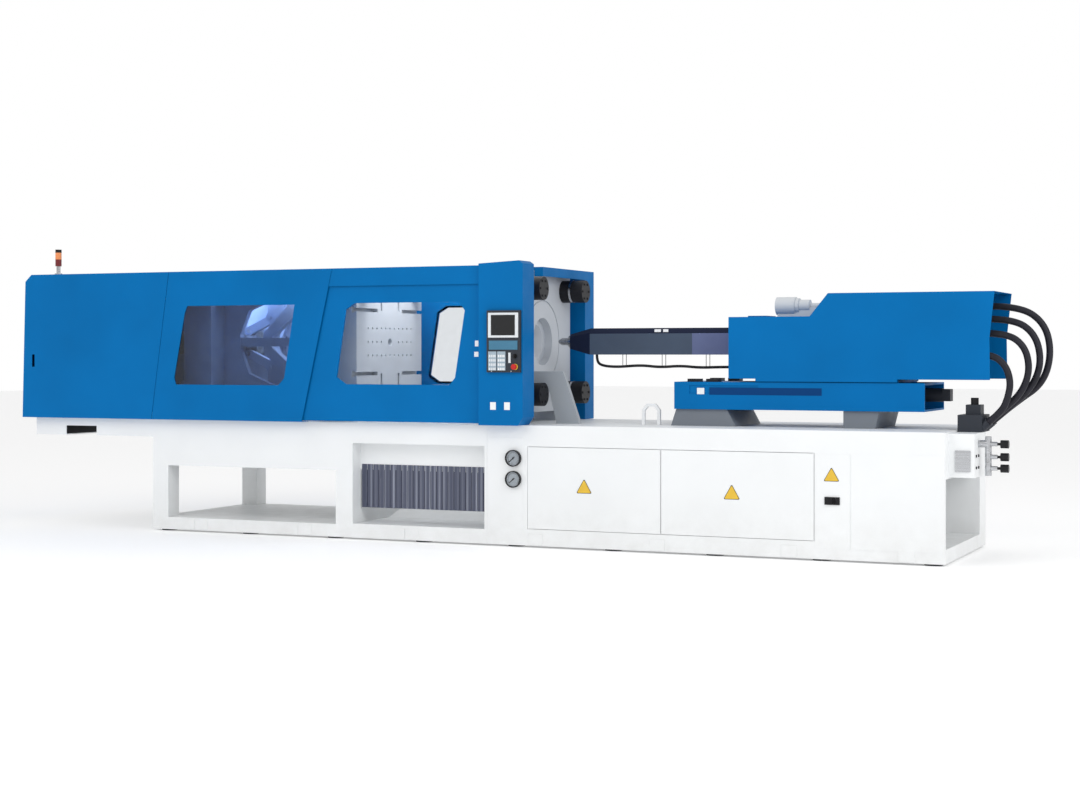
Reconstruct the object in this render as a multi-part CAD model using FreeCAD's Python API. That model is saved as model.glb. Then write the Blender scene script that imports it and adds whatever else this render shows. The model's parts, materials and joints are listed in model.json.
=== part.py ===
import FreeCAD, Part
import math
import os
from FreeCAD import Vector

# Injection moulding machine, toggle clamp. Millimetres.
# +X runs from the clamp end to the injection end, +Y away from the operator, +Z up.
# The origin is on the floor, under the middle of the machine's length and its tie bars.

# ---- driving dimensions: overall ----
clamp_end = -3923.0          # left end of the clamp covers
bed_half_width = 710.0
bed_top = 880.0
bed_floor_gap = 14.0         # the levelling pads lift the bed by this
cover_top = 2036.0
cover_half_width = 790.0
centre_z = 1487.0            # machine axis above the floor

# ---- clearances and sheet ----
running_gap = 0.3            # faces that slide past each other
pin_gap = 0.4                # radial, hinge pins
seam_gap = 3.0               # between neighbouring covers
sheet = 4.0                  # cover sheet with its stiffening
flange_height = 5.0          # inward foot flange of the covers

# ---- clamp bed ----
clamp_bed_left = -2698.0
beam_left = -3845.0          # the cantilever beam that carries the covers
beam_bottom = 740.0
fork_left = -3545.0
fork_right = -3245.0
fork_top = 816.0
rail_height = 110.0          # bottom rails of the bed
leg_width = 145.0
first_opening_top = 517.0
second_opening_left = -888.0
second_opening_top = 725.0
bed_split = 232.0
bed_wall = 20.0
top_plate = 40.0
chute_depth = 560.0
drop_left = -840.0           # hole in the bed top that the mouldings drop through
drop_right = 20.0
drop_half_width = 330.0
rear_slope_drop = 240.0

# ---- injection bed ----
injection_bed_right = 3555.0
door_bottom = 134.0
door_top = 728.0
door_left = 555.0
door_middle = 1575.0
door_right = 2675.0
switch_panel_right = 2925.0
panel_thickness = 3.0
door_thickness = 22.0
door_gap = 3.0
door_frame = 40.0
hinge_inset = 4.0            # pivot pins of the doors, from the door's edge and face
motor_floor = 90.0
end_recess_left = 3120.0
end_recess_top = 570.0
end_leg_width = 230.0
end_box_right = 3725.0
end_box_front = -610.0
end_box_back = -200.0
end_box_bottom = 580.0

# ---- levelling feet ----
foot_radius = 62.0
foot_inset = 95.0
foot_count = 9

# ---- platens and tie bars ----
platen_half = 530.0
tie_half_pitch_y = 400.0
tie_half_pitch_z = 390.0
tie_radius = 50.0
tie_hole_gap = 1.0
fixed_platen_face = 60.0
fixed_platen_thickness = 300.0
moving_platen_face = -955.0
moving_platen_thickness = 330.0
tail_platen_front = -2273.0
tail_platen_thickness = 257.0
platen_corner = 45.0
locating_bore_radius = 80.0
locating_bore_depth = 30.0
sprue_radius = 45.0
nozzle_recess_radius = 180.0
nozzle_recess_depth = 60.0
slot_width = 28.0
slot_depth = 44.0
slot_head_width = 46.0
slot_head_depth = 20.0
slot_offset_y = 140.0
slot_offset_z = 245.0
bolt_hole_radius = 10.0
bolt_hole_depth = 45.0
bolt_pitch = 70.0
nut_radius = 86.0
nut_length = 190.0
tail_nut_length = 90.0
tie_tail_length = 330.0      # thread left of the tail platen, for mould height
shoe_width = 150.0

# ---- toggle ----
pivot_offset_z = 400.0
rear_link = 360.0
front_link = 520.0
open_angle = 105.0           # rear link to the machine axis with the clamp open
drive_arm = 230.0            # rear link pivot to crosshead link pin
drive_angle = 15.0
crosshead_link = 270.0
crosshead_pin_z = 90.0
moving_pivot_back = 265.0    # behind the moving platen's back face
link_pin_radius = 30.0
small_pin_radius = 18.0
link_boss = 37.0
knee_pin_radius = 22.0
cheek_inner = 296.0
cheek_gap = 8.0                # link cheeks to the tie bars
cheek_outer = tie_half_pitch_y - tie_radius - cheek_gap
rear_link_inner = 110.0
rear_link_outer = 170.0
front_link_inner = 180.0
front_link_outer = 240.0
ear_inner = 108.0
ear_outer = 174.0
cross_link_inner = 60.0
cross_link_outer = 100.0
crosshead_half = 56.0
guide_rod_y = 268.0
guide_rod_radius = 18.0
guide_rod_reach = 222.0
clamp_rod_radius = 35.0
clamp_cylinder_radius = 95.0
clamp_cylinder_length = 570.0
clamp_rod_tail = 3060.0
ejector_rod_radius = 25.0
ejector_radius = 62.0
ejector_length = 200.0

# ---- covers ----
clamp_end_lean = 29.0
seam_a_top = -2491.0
seam_a_slope = 0.142
seam_b_top = -1020.0
seam_slope = 0.2286
gate_top = 1896.0
gate_track_bottom = 1902.0
gate_right = 212.0
gate_front = -775.0
gate_thickness = 16.0
pane_thickness = 4.0
rail_left = -2300.0
post_left = 214.0
post_right = 565.0
post_front = -815.0
post_back = -615.0
post_top = 2056.0
panel_left = 290.0
panel_right = 555.0
panel_bottom = 1262.0
panel_top = 1707.0
panel_depth = 22.0
panel_button_x = 516.0
button_z = 1302.0
button_travel = 5.0
well_depth = 10.0
stem_radius = 11.0
button_reach = 30.0          # the emergency stop stands out of the panel by this
guard_right = 455.0
guard_inner = 610.0
canopy_near = -210.0
canopy_top = 2045.0
canopy_lead = 25.0             # fixed platen to the canopy's end plate

# ---- injection unit ----
pedestal_top = 1000.0
front_pedestal = (1542.0, 1934.0)
rear_pedestal = (2767.0, 3019.0)
beam_start = 1535.0
beam_end = 3335.0
beam_top = 1195.0
beam_half_width = 320.0
beam_wall = 14.0
hood_front = 1945.0
hood_right = 3775.0
hood_top_right = 3805.0
hood_bottom = 1220.0
hood_low_top = 1656.0
hood_high_top = 1816.0
hood_slope_start = 2535.0
hood_slope_end = 2665.0
hood_half_width = 330.0
skirt_left = 2143.0
skirt_right = 3150.0
nozzle_tip = 495.0
nozzle_length = 90.0
taper_length = 205.0
cover_half_height = 98.0
cover_half_depth = 105.0
barrel_radius = 65.0
screw_radius = 30.0
screw_gap = 0.4
barrel_end = 2150.0
band_start = 749.0           # heater bands on the barrel
band_pitch = 185.0
band_length = 130.0
cylinder_radius = 70.0
cylinder_y = 205.0

# ---- hoses ----
hose_diameter = 46.0
cable_diameter = 20.0
hose_rows_y = (-90.0, -160.0, -230.0, -300.0)


def box(x0, x1, y0, y1, z0, z1):
    return Part.makeBox(x1 - x0, y1 - y0, z1 - z0, Vector(x0, y0, z0))


def rod(start, end, radius):
    way = Vector(*end) - Vector(*start)
    return Part.makeCylinder(radius, way.Length, Vector(*start), way)


def cone(start, end, radius_start, radius_end):
    way = Vector(*end) - Vector(*start)
    return Part.makeCone(radius_start, radius_end, way.Length, Vector(*start), way)


def plate(points, y0, y1):
    """A prism across the machine, from an outline of (x, z) points."""
    corners = [Vector(x, y0, z) for x, z in points]
    face = Part.Face(Part.makePolygon(corners + corners[:1]))
    return face.extrude(Vector(0, y1 - y0, 0))


def bar(points, x0, x1):
    """A prism along the machine, from an outline of (y, z) points."""
    corners = [Vector(x0, y, z) for y, z in points]
    face = Part.Face(Part.makePolygon(corners + corners[:1]))
    return face.extrude(Vector(x1 - x0, 0, 0))


def mirrored(shape):
    return shape.mirror(Vector(0, 0, 0), Vector(0, 1, 0))


def both_sides(shape):
    return [shape, mirrored(shape)]


def fused(*shapes):
    first, rest = shapes[0], list(shapes[1:])
    return first.fuse(rest).removeSplitter() if rest else first


def cut(shape, *tools):
    return shape.cut(list(tools))


def edges_along_x(shape, radius):
    edges = [e for e in shape.Edges if abs(e.Vertexes[0].Z - e.Vertexes[-1].Z) < 1e-6
             and abs(e.Vertexes[0].Y - e.Vertexes[-1].Y) < 1e-6 and len(e.Vertexes) == 2]
    return shape.makeFillet(radius, edges)


def save(name, *shapes):
    solids = [s for shape in shapes for s in shape.Solids]
    whole = solids[0] if len(solids) == 1 else Part.makeCompound(solids)
    if not all(s.isValid() for s in solids):
        raise ValueError(name + " isn't valid")
    whole.exportStep(f"parts/{name}.step")
    print(name, len(solids), "solids,", round(sum(s.Volume for s in solids) / 1e9, 5), "m3")


# ------------------------------------------------------------------ beds

def clamp_bed():
    """Welded bed under the clamp, with the pass-through under it and the part chute."""
    w = bed_half_width
    bottom = bed_floor_gap
    leg_right = clamp_bed_left + leg_width
    mid_leg = second_opening_left - leg_width
    body = box(clamp_bed_left, bed_split, -w, w, bottom, bed_top)
    through = box(leg_right, mid_leg, -w, w, rail_height, first_opening_top)
    hollow = box(leg_right, mid_leg, bed_wall - w, w - bed_wall, rail_height, bed_top - top_plate)
    chute_right = bed_split - bed_wall
    front_mouth = box(second_opening_left, chute_right, -w, chute_depth - w, rail_height + 10,
                      second_opening_top)
    back = w - bed_wall
    slide = plate([(second_opening_left, rail_height + 10),
                   (chute_right, rail_height + 10),
                   (chute_right, second_opening_top),
                   (second_opening_left, second_opening_top)], chute_depth - w - 1, back)
    slope = bar([(chute_depth - w - 1, rail_height + 10), (back + 1, rail_height + 10),
                 (back + 1, rail_height + rear_slope_drop)], second_opening_left - 1,
                chute_right + 1)
    slide = slide.cut(slope)
    drop = box(drop_left, drop_right, -drop_half_width, drop_half_width,
               second_opening_top - 1, bed_top)
    leg_hollow = box(clamp_bed_left + bed_wall, leg_right + 1, leg_width - w, w - leg_width,
                     rail_height, bed_top - top_plate)
    end_way = box(clamp_bed_left - 1, leg_right + 1, leg_width - w, w - leg_width,
                  rail_height, first_opening_top)
    body = cut(body, through, hollow, front_mouth, slide, drop, leg_hollow, end_way)
    arm = box(beam_left, clamp_bed_left, -w, w, beam_bottom, bed_top)
    arm = cut(arm, box(fork_left, fork_right, -w, w, beam_bottom, fork_top))
    return fused(body, arm)


def door_opening(left, right):
    w = bed_half_width
    recess = box(left, right, -w, door_thickness + 3 - w, door_bottom, door_top)
    way_in = box(left + door_frame, right - door_frame, -w, bed_wall * 2 - w,
                 door_bottom + door_frame, door_top - door_frame)
    return fused(recess, way_in)


def injection_bed():
    """Welded bed under the injection unit, and the lifting hoop that stands on it."""
    w = bed_half_width
    bottom = bed_floor_gap
    body = box(bed_split, injection_bed_right, -w, w, bottom, bed_top)
    room = box(door_left - 60, door_right + 20, bed_wall * 2 - w, w - bed_wall,
               motor_floor, bed_top - top_plate)
    tank = box(door_right + 60, end_recess_left - 40, bed_wall - w, w - bed_wall,
               motor_floor, bed_top - top_plate)
    drain = rod((end_recess_left - 200, 0, bottom - 1), (end_recess_left - 200, 0, motor_floor + 1), 60)
    bay = box(end_recess_left, injection_bed_right, bed_wall - w, w - end_leg_width,
              rail_height, end_recess_top)
    bay_hollow = box(end_recess_left, injection_bed_right - 60, bed_wall - w,
                     w - end_leg_width, end_recess_top, bed_top - top_plate)
    body = cut(body, room, tank, drain, bay, bay_hollow)
    body = cut(body, door_opening(door_left, door_middle - 1), door_opening(door_middle + 1, door_right))
    end_box = box(injection_bed_right, end_box_right, end_box_front, end_box_back,
                  end_box_bottom, bed_top - 10)
    hoop_outer = plate([(1265, bed_top), (1265, 990), (1300, 1034), (1370, 1034), (1405, 990),
                        (1405, bed_top)], -262, -238)
    hoop_inner = plate([(1287, bed_top - 1), (1287, 982), (1310, 1012), (1360, 1012),
                        (1383, 982), (1383, bed_top - 1)], -262, -238)
    return [fused(body, end_box), cut(hoop_outer, hoop_inner)]


def levelling_feet():
    first = clamp_bed_left + foot_inset
    last = injection_bed_right - foot_inset
    y = bed_half_width - foot_inset
    feet = []
    for i in range(foot_count):
        x = first + (last - first) * i / (foot_count - 1)
        pad = rod((x, -y, 0), (x, -y, bed_floor_gap), foot_radius)
        feet += both_sides(pad)
    return feet


def strip_curtain():
    """Hanging strips in front of the part chute, in two staggered rows, with their rail."""
    left = second_opening_left + 14
    right = bed_split - bed_wall - 14
    count = 22
    pitch = (right - left) / count
    front = 120 - bed_half_width
    strips = []
    for i in range(count):
        x = left + i * pitch
        strips.append(box(x, x + pitch - 4, front, front + 3, 235, 562))
    for i in range(count - 1):
        x = left + (i + 0.5) * pitch
        strips.append(box(x, x + pitch - 4, front + 12, front + 15, 235, 562))
    rail = box(second_opening_left, bed_split - bed_wall, front + 3, front + 12, 520, second_opening_top)
    return strips + [rail]


def cabinet_door(left, right, hinge_x):
    """A pan-shaped door: 3 mm sheet with turned edges, filling its recess, on two pivot pins."""
    w = bed_half_width
    outer = box(left + door_gap, right - door_gap, -w, door_thickness - w,
                door_bottom + door_gap, door_top - door_gap)
    inner = box(left + door_gap + 3, right - door_gap - 3, 3 - w, door_thickness - w,
                door_bottom + door_gap + 3, door_top - door_gap - 3)
    hinge_y = hinge_inset - w
    pins = [rod((hinge_x, hinge_y, z0), (hinge_x, hinge_y, z1), 3.5)
            for z0, z1 in ((door_bottom + running_gap, door_bottom + door_gap + 60),
                           (door_top - door_gap - 60, door_top - running_gap))]
    return fused(cut(outer, inner), *pins)


def bed_panels():
    """Bolted cover panels: gauge panel, main switch panel and end panel, and the switch plate."""
    w = bed_half_width
    gauge = box(bed_split + 6, door_left - 34, -w - panel_thickness, -w, 130, 790)
    switch = box(door_right + 8, switch_panel_right - 4, -w - panel_thickness, -w, 90, 722)
    end = box(switch_panel_right + 4, injection_bed_right - 4, -w - panel_thickness, -w, 88, 727)
    mid = (door_right + switch_panel_right) / 2
    plate_front = -w - panel_thickness
    switch_plate = box(mid - 52, mid + 52, plate_front - 6, plate_front, 383, 435)
    return [gauge, switch, end, switch_plate]


def main_switch_handle():
    x = (door_right + switch_panel_right) / 2
    front = -bed_half_width - panel_thickness - 6
    knob = rod((x, front - running_gap, 409), (x, front - 14, 409), 19)
    grip = box(x - 6, x + 6, front - 26, front - 13.9, 409 - 19, 409 + 19)
    return fused(knob, grip)


gauge_x = 449.0
gauge_heights = (642.0, 490.0)
gauge_radius = 60.0


def pressure_gauges():
    """Two round gauges: rim case with its dial, and the glass in front."""
    back = -bed_half_width - panel_thickness
    pieces = []
    for z in gauge_heights:
        case = rod((gauge_x, back, z), (gauge_x, back - 26, z), gauge_radius)
        well = rod((gauge_x, back - 12, z), (gauge_x, back - 26, z), gauge_radius - 7)
        spindle = rod((gauge_x, back - 12, z), (gauge_x, back - 14, z), 3)
        glass = rod((gauge_x, back - 22, z), (gauge_x, back - 25, z), gauge_radius - 7)
        pieces += [fused(cut(case, well), spindle), glass]
    return pieces


def gauge_needle(z):
    back = -bed_half_width - panel_thickness
    hub = rod((gauge_x, back - 14.3, z), (gauge_x, back - 18, z), 6)
    hand = plate([(gauge_x - 3, z), (gauge_x - 34, z - 26), (gauge_x - 31, z - 29),
                  (gauge_x + 3, z - 4), (gauge_x + 14, z + 8), (gauge_x + 8, z + 12)],
                 back - 17, back - 15)
    return fused(hub, hand)


# ------------------------------------------------------------------ platens

def tie_positions():
    return [(y, centre_z + z) for y in (-tie_half_pitch_y, tie_half_pitch_y)
            for z in (-tie_half_pitch_z, tie_half_pitch_z)]


def platen_block(x0, x1, foot_gap):
    """A cast platen with rounded corners, its feet and the tie bar holes."""
    h = platen_half
    body = edges_along_x(box(x0, x1, -h, h, centre_z - h, centre_z + h), platen_corner)
    foot = box(x0, x1, h - 25 - shoe_width, h - 25, bed_top + foot_gap, centre_z - h + 60)
    body = fused(body, *both_sides(foot))
    holes = [rod((x0 - 1, y, z), (x1 + 1, y, z), tie_radius + tie_hole_gap)
             for y, z in tie_positions()]
    return cut(body, *holes)


def slot_along_y(face, way, y0, y1, z):
    neck = box(*sorted((face + way, face - way * slot_depth)), y0, y1,
               z - slot_width / 2, z + slot_width / 2)
    head = box(*sorted((face - way * (slot_depth - slot_head_depth), face - way * slot_depth)),
               y0, y1, z - slot_head_width / 2, z + slot_head_width / 2)
    return neck.fuse(head)


def slot_along_z(face, way, y, z0, z1):
    neck = box(*sorted((face + way, face - way * slot_depth)),
               y - slot_width / 2, y + slot_width / 2, z0, z1)
    head = box(*sorted((face - way * (slot_depth - slot_head_depth), face - way * slot_depth)),
               y - slot_head_width / 2, y + slot_head_width / 2, z0, z1)
    return neck.fuse(head)


def mould_fixings(face, way):
    """T-slots and tapped holes in a mould face. way is +1 where the face looks along +X."""
    h = platen_half + 1
    tools = []
    for z in (-slot_offset_z, slot_offset_z):
        tools.append(slot_along_y(face, way, -h, -slot_offset_y - 60, centre_z + z))
        tools.append(slot_along_y(face, way, slot_offset_y + 60, h, centre_z + z))
        end = math.copysign(h, z)
        for y in (-slot_offset_y, slot_offset_y):
            tools.append(slot_along_z(face, way, y, *sorted((centre_z + z, centre_z + end))))
    for row in (-1, 0, 1):
        for column in range(-5, 6):
            y = column * bolt_pitch
            if abs(column) <= 1 and row == 0:
                continue
            z = centre_z + row * bolt_pitch * 1.5
            if math.hypot(y, z - centre_z) < locating_bore_radius + 20:
                continue
            tools.append(rod((face + way, y, z), (face - way * bolt_hole_depth, y, z),
                             bolt_hole_radius))
    return tools


def stationary_platen():
    x0 = fixed_platen_face
    x1 = x0 + fixed_platen_thickness
    body = platen_block(x0, x1, 0)
    bore = rod((x0 - 1, 0, centre_z), (x0 + locating_bore_depth, 0, centre_z),
               locating_bore_radius)
    sprue = rod((x0, 0, centre_z), (x1, 0, centre_z), sprue_radius)
    funnel_start = x0 + locating_bore_depth + 50
    recess_start = x1 - nozzle_recess_depth
    funnel = cone((funnel_start, 0, centre_z), (recess_start, 0, centre_z), sprue_radius, 130)
    recess = rod((recess_start, 0, centre_z), (x1 + 1, 0, centre_z), nozzle_recess_radius)
    face_ring = cut(rod((x1 - 12, 0, centre_z), (x1 + 1, 0, centre_z), 318),
                    rod((x1 - 13, 0, centre_z), (x1 + 2, 0, centre_z), 306))
    return cut(body, bore, sprue, funnel, recess, face_ring, *mould_fixings(x0, -1))


def moving_pivot_x():
    return moving_platen_face - moving_platen_thickness - moving_pivot_back


def moving_platen():
    """Platen with its toggle ears, and the ejector cylinder on its back."""
    x1 = moving_platen_face
    x0 = x1 - moving_platen_thickness
    body = platen_block(x0, x1, running_gap)
    px = moving_pivot_x()
    for z in (-pivot_offset_z, pivot_offset_z):
        arm = plate([(x0, centre_z + z - 95), (px, centre_z + z - 70),
                     (px, centre_z + z + 70), (x0, centre_z + z + 95)], ear_inner, ear_outer)
        eye = rod((px, ear_inner, centre_z + z), (px, ear_outer, centre_z + z), 70)
        body = fused(body, *both_sides(fused(arm, eye)))
    pins = [rod((px, -ear_outer - 1, centre_z + z), (px, ear_outer + 1, centre_z + z),
                link_pin_radius + pin_gap) for z in (-pivot_offset_z, pivot_offset_z)]
    passage = rod((x0 - 1, 0, centre_z), (x1 + 1, 0, centre_z), ejector_rod_radius + 5)
    body = cut(body, passage, *pins, *mould_fixings(x1, 1))
    housing = rod((x0 - ejector_length, 0, centre_z), (x0, 0, centre_z), ejector_radius)
    housing = cut(housing, rod((x0 - ejector_length + 15, 0, centre_z), (x0 + 1, 0, centre_z),
                               ejector_rod_radius + 15))
    return [body, housing]


def ejector():
    back = moving_platen_face - moving_platen_thickness
    stem = rod((back - ejector_length + 17, 0, centre_z), (moving_platen_face - 25, 0, centre_z),
               ejector_rod_radius)
    piston = rod((back - ejector_length + 17, 0, centre_z),
                 (back - ejector_length + 47, 0, centre_z), ejector_rod_radius + 14.5)
    return fused(stem, piston)


def tie_bars():
    start = tail_platen_front - tail_platen_thickness - tie_tail_length
    end = fixed_platen_face + fixed_platen_thickness + nut_length - 12
    return [rod((start, y, z), (end, y, z), tie_radius) for y, z in tie_positions()]


def tie_bar_nuts():
    """Front nuts on the stationary platen, each with its clamping ring."""
    x0 = fixed_platen_face + fixed_platen_thickness
    pieces = []
    for y, z in tie_positions():
        nut = rod((x0, y, z), (x0 + nut_length, y, z), nut_radius)
        nut = cut(nut, rod((x0 - 1, y, z), (x0 + nut_length - 12, y, z), tie_radius + running_gap))
        groove = cut(rod((x0 + 70, y, z), (x0 + 95, y, z), nut_radius + 1),
                     rod((x0 + 69, y, z), (x0 + 96, y, z), nut_radius - 8))
        pieces.append(cut(nut, groove))
    return pieces


def platen_braces():
    """Raking leg that holds the stationary platen's back to the injection bed."""
    x = fixed_platen_face + fixed_platen_thickness
    outline = [(x, 1265), (645, 1263), (778, bed_top), (592, bed_top), (540, 1100),
               (515, 1150), (470, 1180), (x, 1185)]
    return plate(outline, -270, -230)


# ------------------------------------------------------------------ toggle

def tail_pivot_x():
    drop = rear_link * math.sin(math.radians(open_angle))
    reach = rear_link * math.cos(math.radians(open_angle)) + math.sqrt(front_link ** 2 - drop ** 2)
    return moving_pivot_x() - reach


def knee(side):
    a = math.radians(open_angle)
    z = centre_z + side * (pivot_offset_z - rear_link * math.sin(a))
    return tail_pivot_x() + rear_link * math.cos(a), z


def drive_pin(side):
    a = math.radians(open_angle + drive_angle)
    z = centre_z + side * (pivot_offset_z - drive_arm * math.sin(a))
    return tail_pivot_x() + drive_arm * math.cos(a), z


def crosshead_pin_x():
    x, z = drive_pin(1)
    rise = z - centre_z - crosshead_pin_z
    return x - math.sqrt(crosshead_link ** 2 - rise ** 2)


def link_plate(start, end, radius_start, radius_end, y0, y1):
    """A flat link: two eyes and the tapered bar between them."""
    (x0, z0), (x1, z1) = start, end
    length = math.hypot(x1 - x0, z1 - z0)
    nx, nz = (z1 - z0) / length, (x0 - x1) / length
    web = plate([(x0 + nx * radius_start, z0 + nz * radius_start),
                 (x1 + nx * radius_end, z1 + nz * radius_end),
                 (x1 - nx * radius_end, z1 - nz * radius_end),
                 (x0 - nx * radius_start, z0 - nz * radius_start)], y0, y1)
    return fused(web, rod((x0, y0, z0), (x0, y1, z0), radius_start),
                 rod((x1, y0, z1), (x1, y1, z1), radius_end))


def tail_platen():
    """Tail platen with its cheeks, and the mould height nuts behind it."""
    x1 = tail_platen_front
    x0 = x1 - tail_platen_thickness
    body = platen_block(x0, x1, running_gap)
    px = tail_pivot_x()
    cheek = plate([(x1, centre_z - 500), (x1 + 180, centre_z - 490), (px, centre_z - 470),
                   (px, centre_z - 330), (x1 + 230, centre_z - 250), (x1 + 150, centre_z - 60),
                   (x1 + 150, centre_z + 60), (x1 + 230, centre_z + 250),
                   (px, centre_z + 330), (px, centre_z + 470), (x1 + 180, centre_z + 490),
                   (x1, centre_z + 500)], cheek_inner, cheek_outer)
    eyes = [rod((px, cheek_inner, centre_z + z), (px, cheek_outer, centre_z + z), 70)
            for z in (-pivot_offset_z, pivot_offset_z)]
    body = fused(body, *both_sides(fused(cheek, *eyes)))
    rod_end = px + guide_rod_reach
    guide = rod((x1, guide_rod_y, centre_z), (rod_end, guide_rod_y, centre_z), guide_rod_radius)
    holder = plate([(x1 + 150, centre_z - 34), (rod_end, centre_z - 34),
                    (rod_end, centre_z + 34), (x1 + 150, centre_z + 34)],
                   cheek_inner + 4, cheek_outer - 6)
    foot = box(rod_end - 34, rod_end, guide_rod_y, cheek_inner + 10, centre_z - 34,
               centre_z + 34)
    body = fused(body, *both_sides(fused(guide, holder, foot)))
    pins = [rod((px, -cheek_outer - 1, centre_z + z), (px, cheek_outer + 1, centre_z + z),
                link_pin_radius + pin_gap) for z in (-pivot_offset_z, pivot_offset_z)]
    passage = rod((x0 - 1, 0, centre_z), (x1 + 1, 0, centre_z), clamp_rod_radius + running_gap)
    body = cut(body, passage, *pins)
    nuts = []
    for y, z in tie_positions():
        nut = rod((x0 - tail_nut_length, y, z), (x0, y, z), nut_radius)
        nuts.append(cut(nut, rod((x0 - tail_nut_length - 1, y, z), (x0 + 1, y, z),
                                 tie_radius + tie_hole_gap)))
    return [body] + nuts


def clamp_cylinder():
    x1 = tail_platen_front - tail_platen_thickness
    x0 = x1 - clamp_cylinder_length
    tube = rod((x0, 0, centre_z), (x1, 0, centre_z), clamp_cylinder_radius)
    flange = rod((x1 - 45, 0, centre_z), (x1, 0, centre_z), clamp_cylinder_radius + 45)
    cap = rod((x0, 0, centre_z), (x0 + 50, 0, centre_z), clamp_cylinder_radius + 20)
    bore = rod((x0 + 15, 0, centre_z), (x1 + 1, 0, centre_z), clamp_rod_radius + 30)
    return cut(fused(tube, flange, cap), bore)


def crosshead():
    """Crosshead on its guide rods, with the clamp cylinder's rod."""
    x = crosshead_pin_x()
    x0, x1 = x - 52, x + 52
    body = box(x0, x1, -crosshead_half, crosshead_half, centre_z - crosshead_pin_z - 36,
               centre_z + crosshead_pin_z + 36)
    wings = box(x0, x1, -guide_rod_y - 22, guide_rod_y + 22, centre_z - 25, centre_z + 25)
    pins = [rod((x, -cross_link_outer, centre_z + z), (x, cross_link_outer, centre_z + z),
                small_pin_radius) for z in (-crosshead_pin_z, crosshead_pin_z)]
    body = fused(body, wings, *pins)
    guides = [rod((x0 - 1, y, centre_z), (x1 + 1, y, centre_z), guide_rod_radius + running_gap)
              for y in (-guide_rod_y, guide_rod_y)]
    stem = rod((-clamp_rod_tail, 0, centre_z), (x0, 0, centre_z), clamp_rod_radius)
    return fused(cut(body, *guides), stem)


def rear_link_pair(side):
    """Upper (side 1) or lower (side -1) rear link: two plates on one pin."""
    px, pz = tail_pivot_x(), centre_z + side * pivot_offset_z
    one = link_plate((px, pz), knee(side), 66, link_boss, rear_link_inner, rear_link_outer)
    arm = link_plate((px, pz), drive_pin(side), 60, 34, rear_link_inner, rear_link_outer)
    kx, kz = knee(side)
    cap = rod((kx, rear_link_inner - 6, kz), (kx, rear_link_outer + 6, kz), knee_pin_radius)
    dx, dz = drive_pin(side)
    stub = rod((dx, cross_link_outer + 4, dz), (dx, rear_link_outer + 6, dz), small_pin_radius)
    half = fused(one, arm, cap, stub)
    axle = rod((px, -cheek_outer - 3, pz), (px, cheek_outer + 3, pz), link_pin_radius)
    return fused(axle, *both_sides(half))


def front_link_pair(side):
    px, pz = moving_pivot_x(), centre_z + side * pivot_offset_z
    one = link_plate((px, pz), knee(side), 60, link_boss, front_link_inner, front_link_outer)
    axle = rod((px, -front_link_outer - 6, pz), (px, front_link_outer + 6, pz), link_pin_radius)
    return fused(axle, *both_sides(one))


def crosshead_link_pair(side):
    hx, hz = crosshead_pin_x(), centre_z + side * crosshead_pin_z
    one = link_plate((hx, hz), drive_pin(side), 34, 34, cross_link_inner, cross_link_outer)
    one = cut(one, rod((hx, cross_link_inner - 1, hz), (hx, cross_link_outer + 1, hz),
                       small_pin_radius + pin_gap))
    dx, dz = drive_pin(side)
    tie = rod((dx, -cross_link_inner - 1, dz), (dx, cross_link_inner + 1, dz), 14)
    return fused(tie, *both_sides(one))


# ------------------------------------------------------------------ covers

def seam_b_x(z):
    return seam_b_top - seam_slope * (cover_top - z)


def seam_a_x(z):
    return seam_a_top - seam_a_slope * (cover_top - z)


def cover_shell(outer, inner, front, back):
    """A sheet cover over the clamp: an outline in (x, z), hollow, with inward foot flanges."""
    skin = plate(outer, front, back)
    space = plate(inner, front + sheet, back - sheet)
    way_down = box(clamp_end - 1, 1000, front + 100, back - 100, bed_top - 1,
                   bed_top + flange_height + 1)
    return cut(skin, space, way_down)


def rear_cover():
    """Cover over the left end, with the finger slot of its service door."""
    w = cover_half_width
    foot = bed_top + flange_height
    a_low = seam_a_x(bed_top) - seam_gap
    a_high = seam_a_x(cover_top) - seam_gap
    end_high = clamp_end + clamp_end_lean
    outer = [(clamp_end, bed_top), (a_low, bed_top), (a_high, cover_top),
             (end_high + 60, cover_top), (end_high, cover_top - 55)]
    inner = [(clamp_end + sheet, foot), (a_low + 200, foot), (a_high + 200, cover_top - sheet),
             (end_high + 62, cover_top - sheet), (end_high + sheet, cover_top - 57)]
    skin = cover_shell(outer, inner, -w, w)
    grip = box(clamp_end + 96, clamp_end + 122, -w - 1, -w + sheet + 1, 1290, 1390)
    return cut(skin, grip)


first_window = [(-2342, 1712), (-2318, 1767), (-1348, 1767), (-1440, 1210), (-1490, 1156),
                (-2425, 1156), (-2440, 1210)]
second_window = [(-910, 1728), (-831, 1774), (35, 1774), (84, 1712), (5, 1221), (-40, 1168),
                 (-910, 1168), (-990, 1221)]


def grown(outline, by):
    """The outline scaled about its middle so that its width grows by 2 * by."""
    xs = [x for x, z in outline]
    zs = [z for x, z in outline]
    mx, mz = (min(xs) + max(xs)) / 2, (min(zs) + max(zs)) / 2
    kx = 1 + 2 * by / (max(xs) - min(xs))
    kz = 1 + 2 * by / (max(zs) - min(zs))
    return [(mx + (x - mx) * kx, mz + (z - mz) * kz) for x, z in outline]


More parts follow.
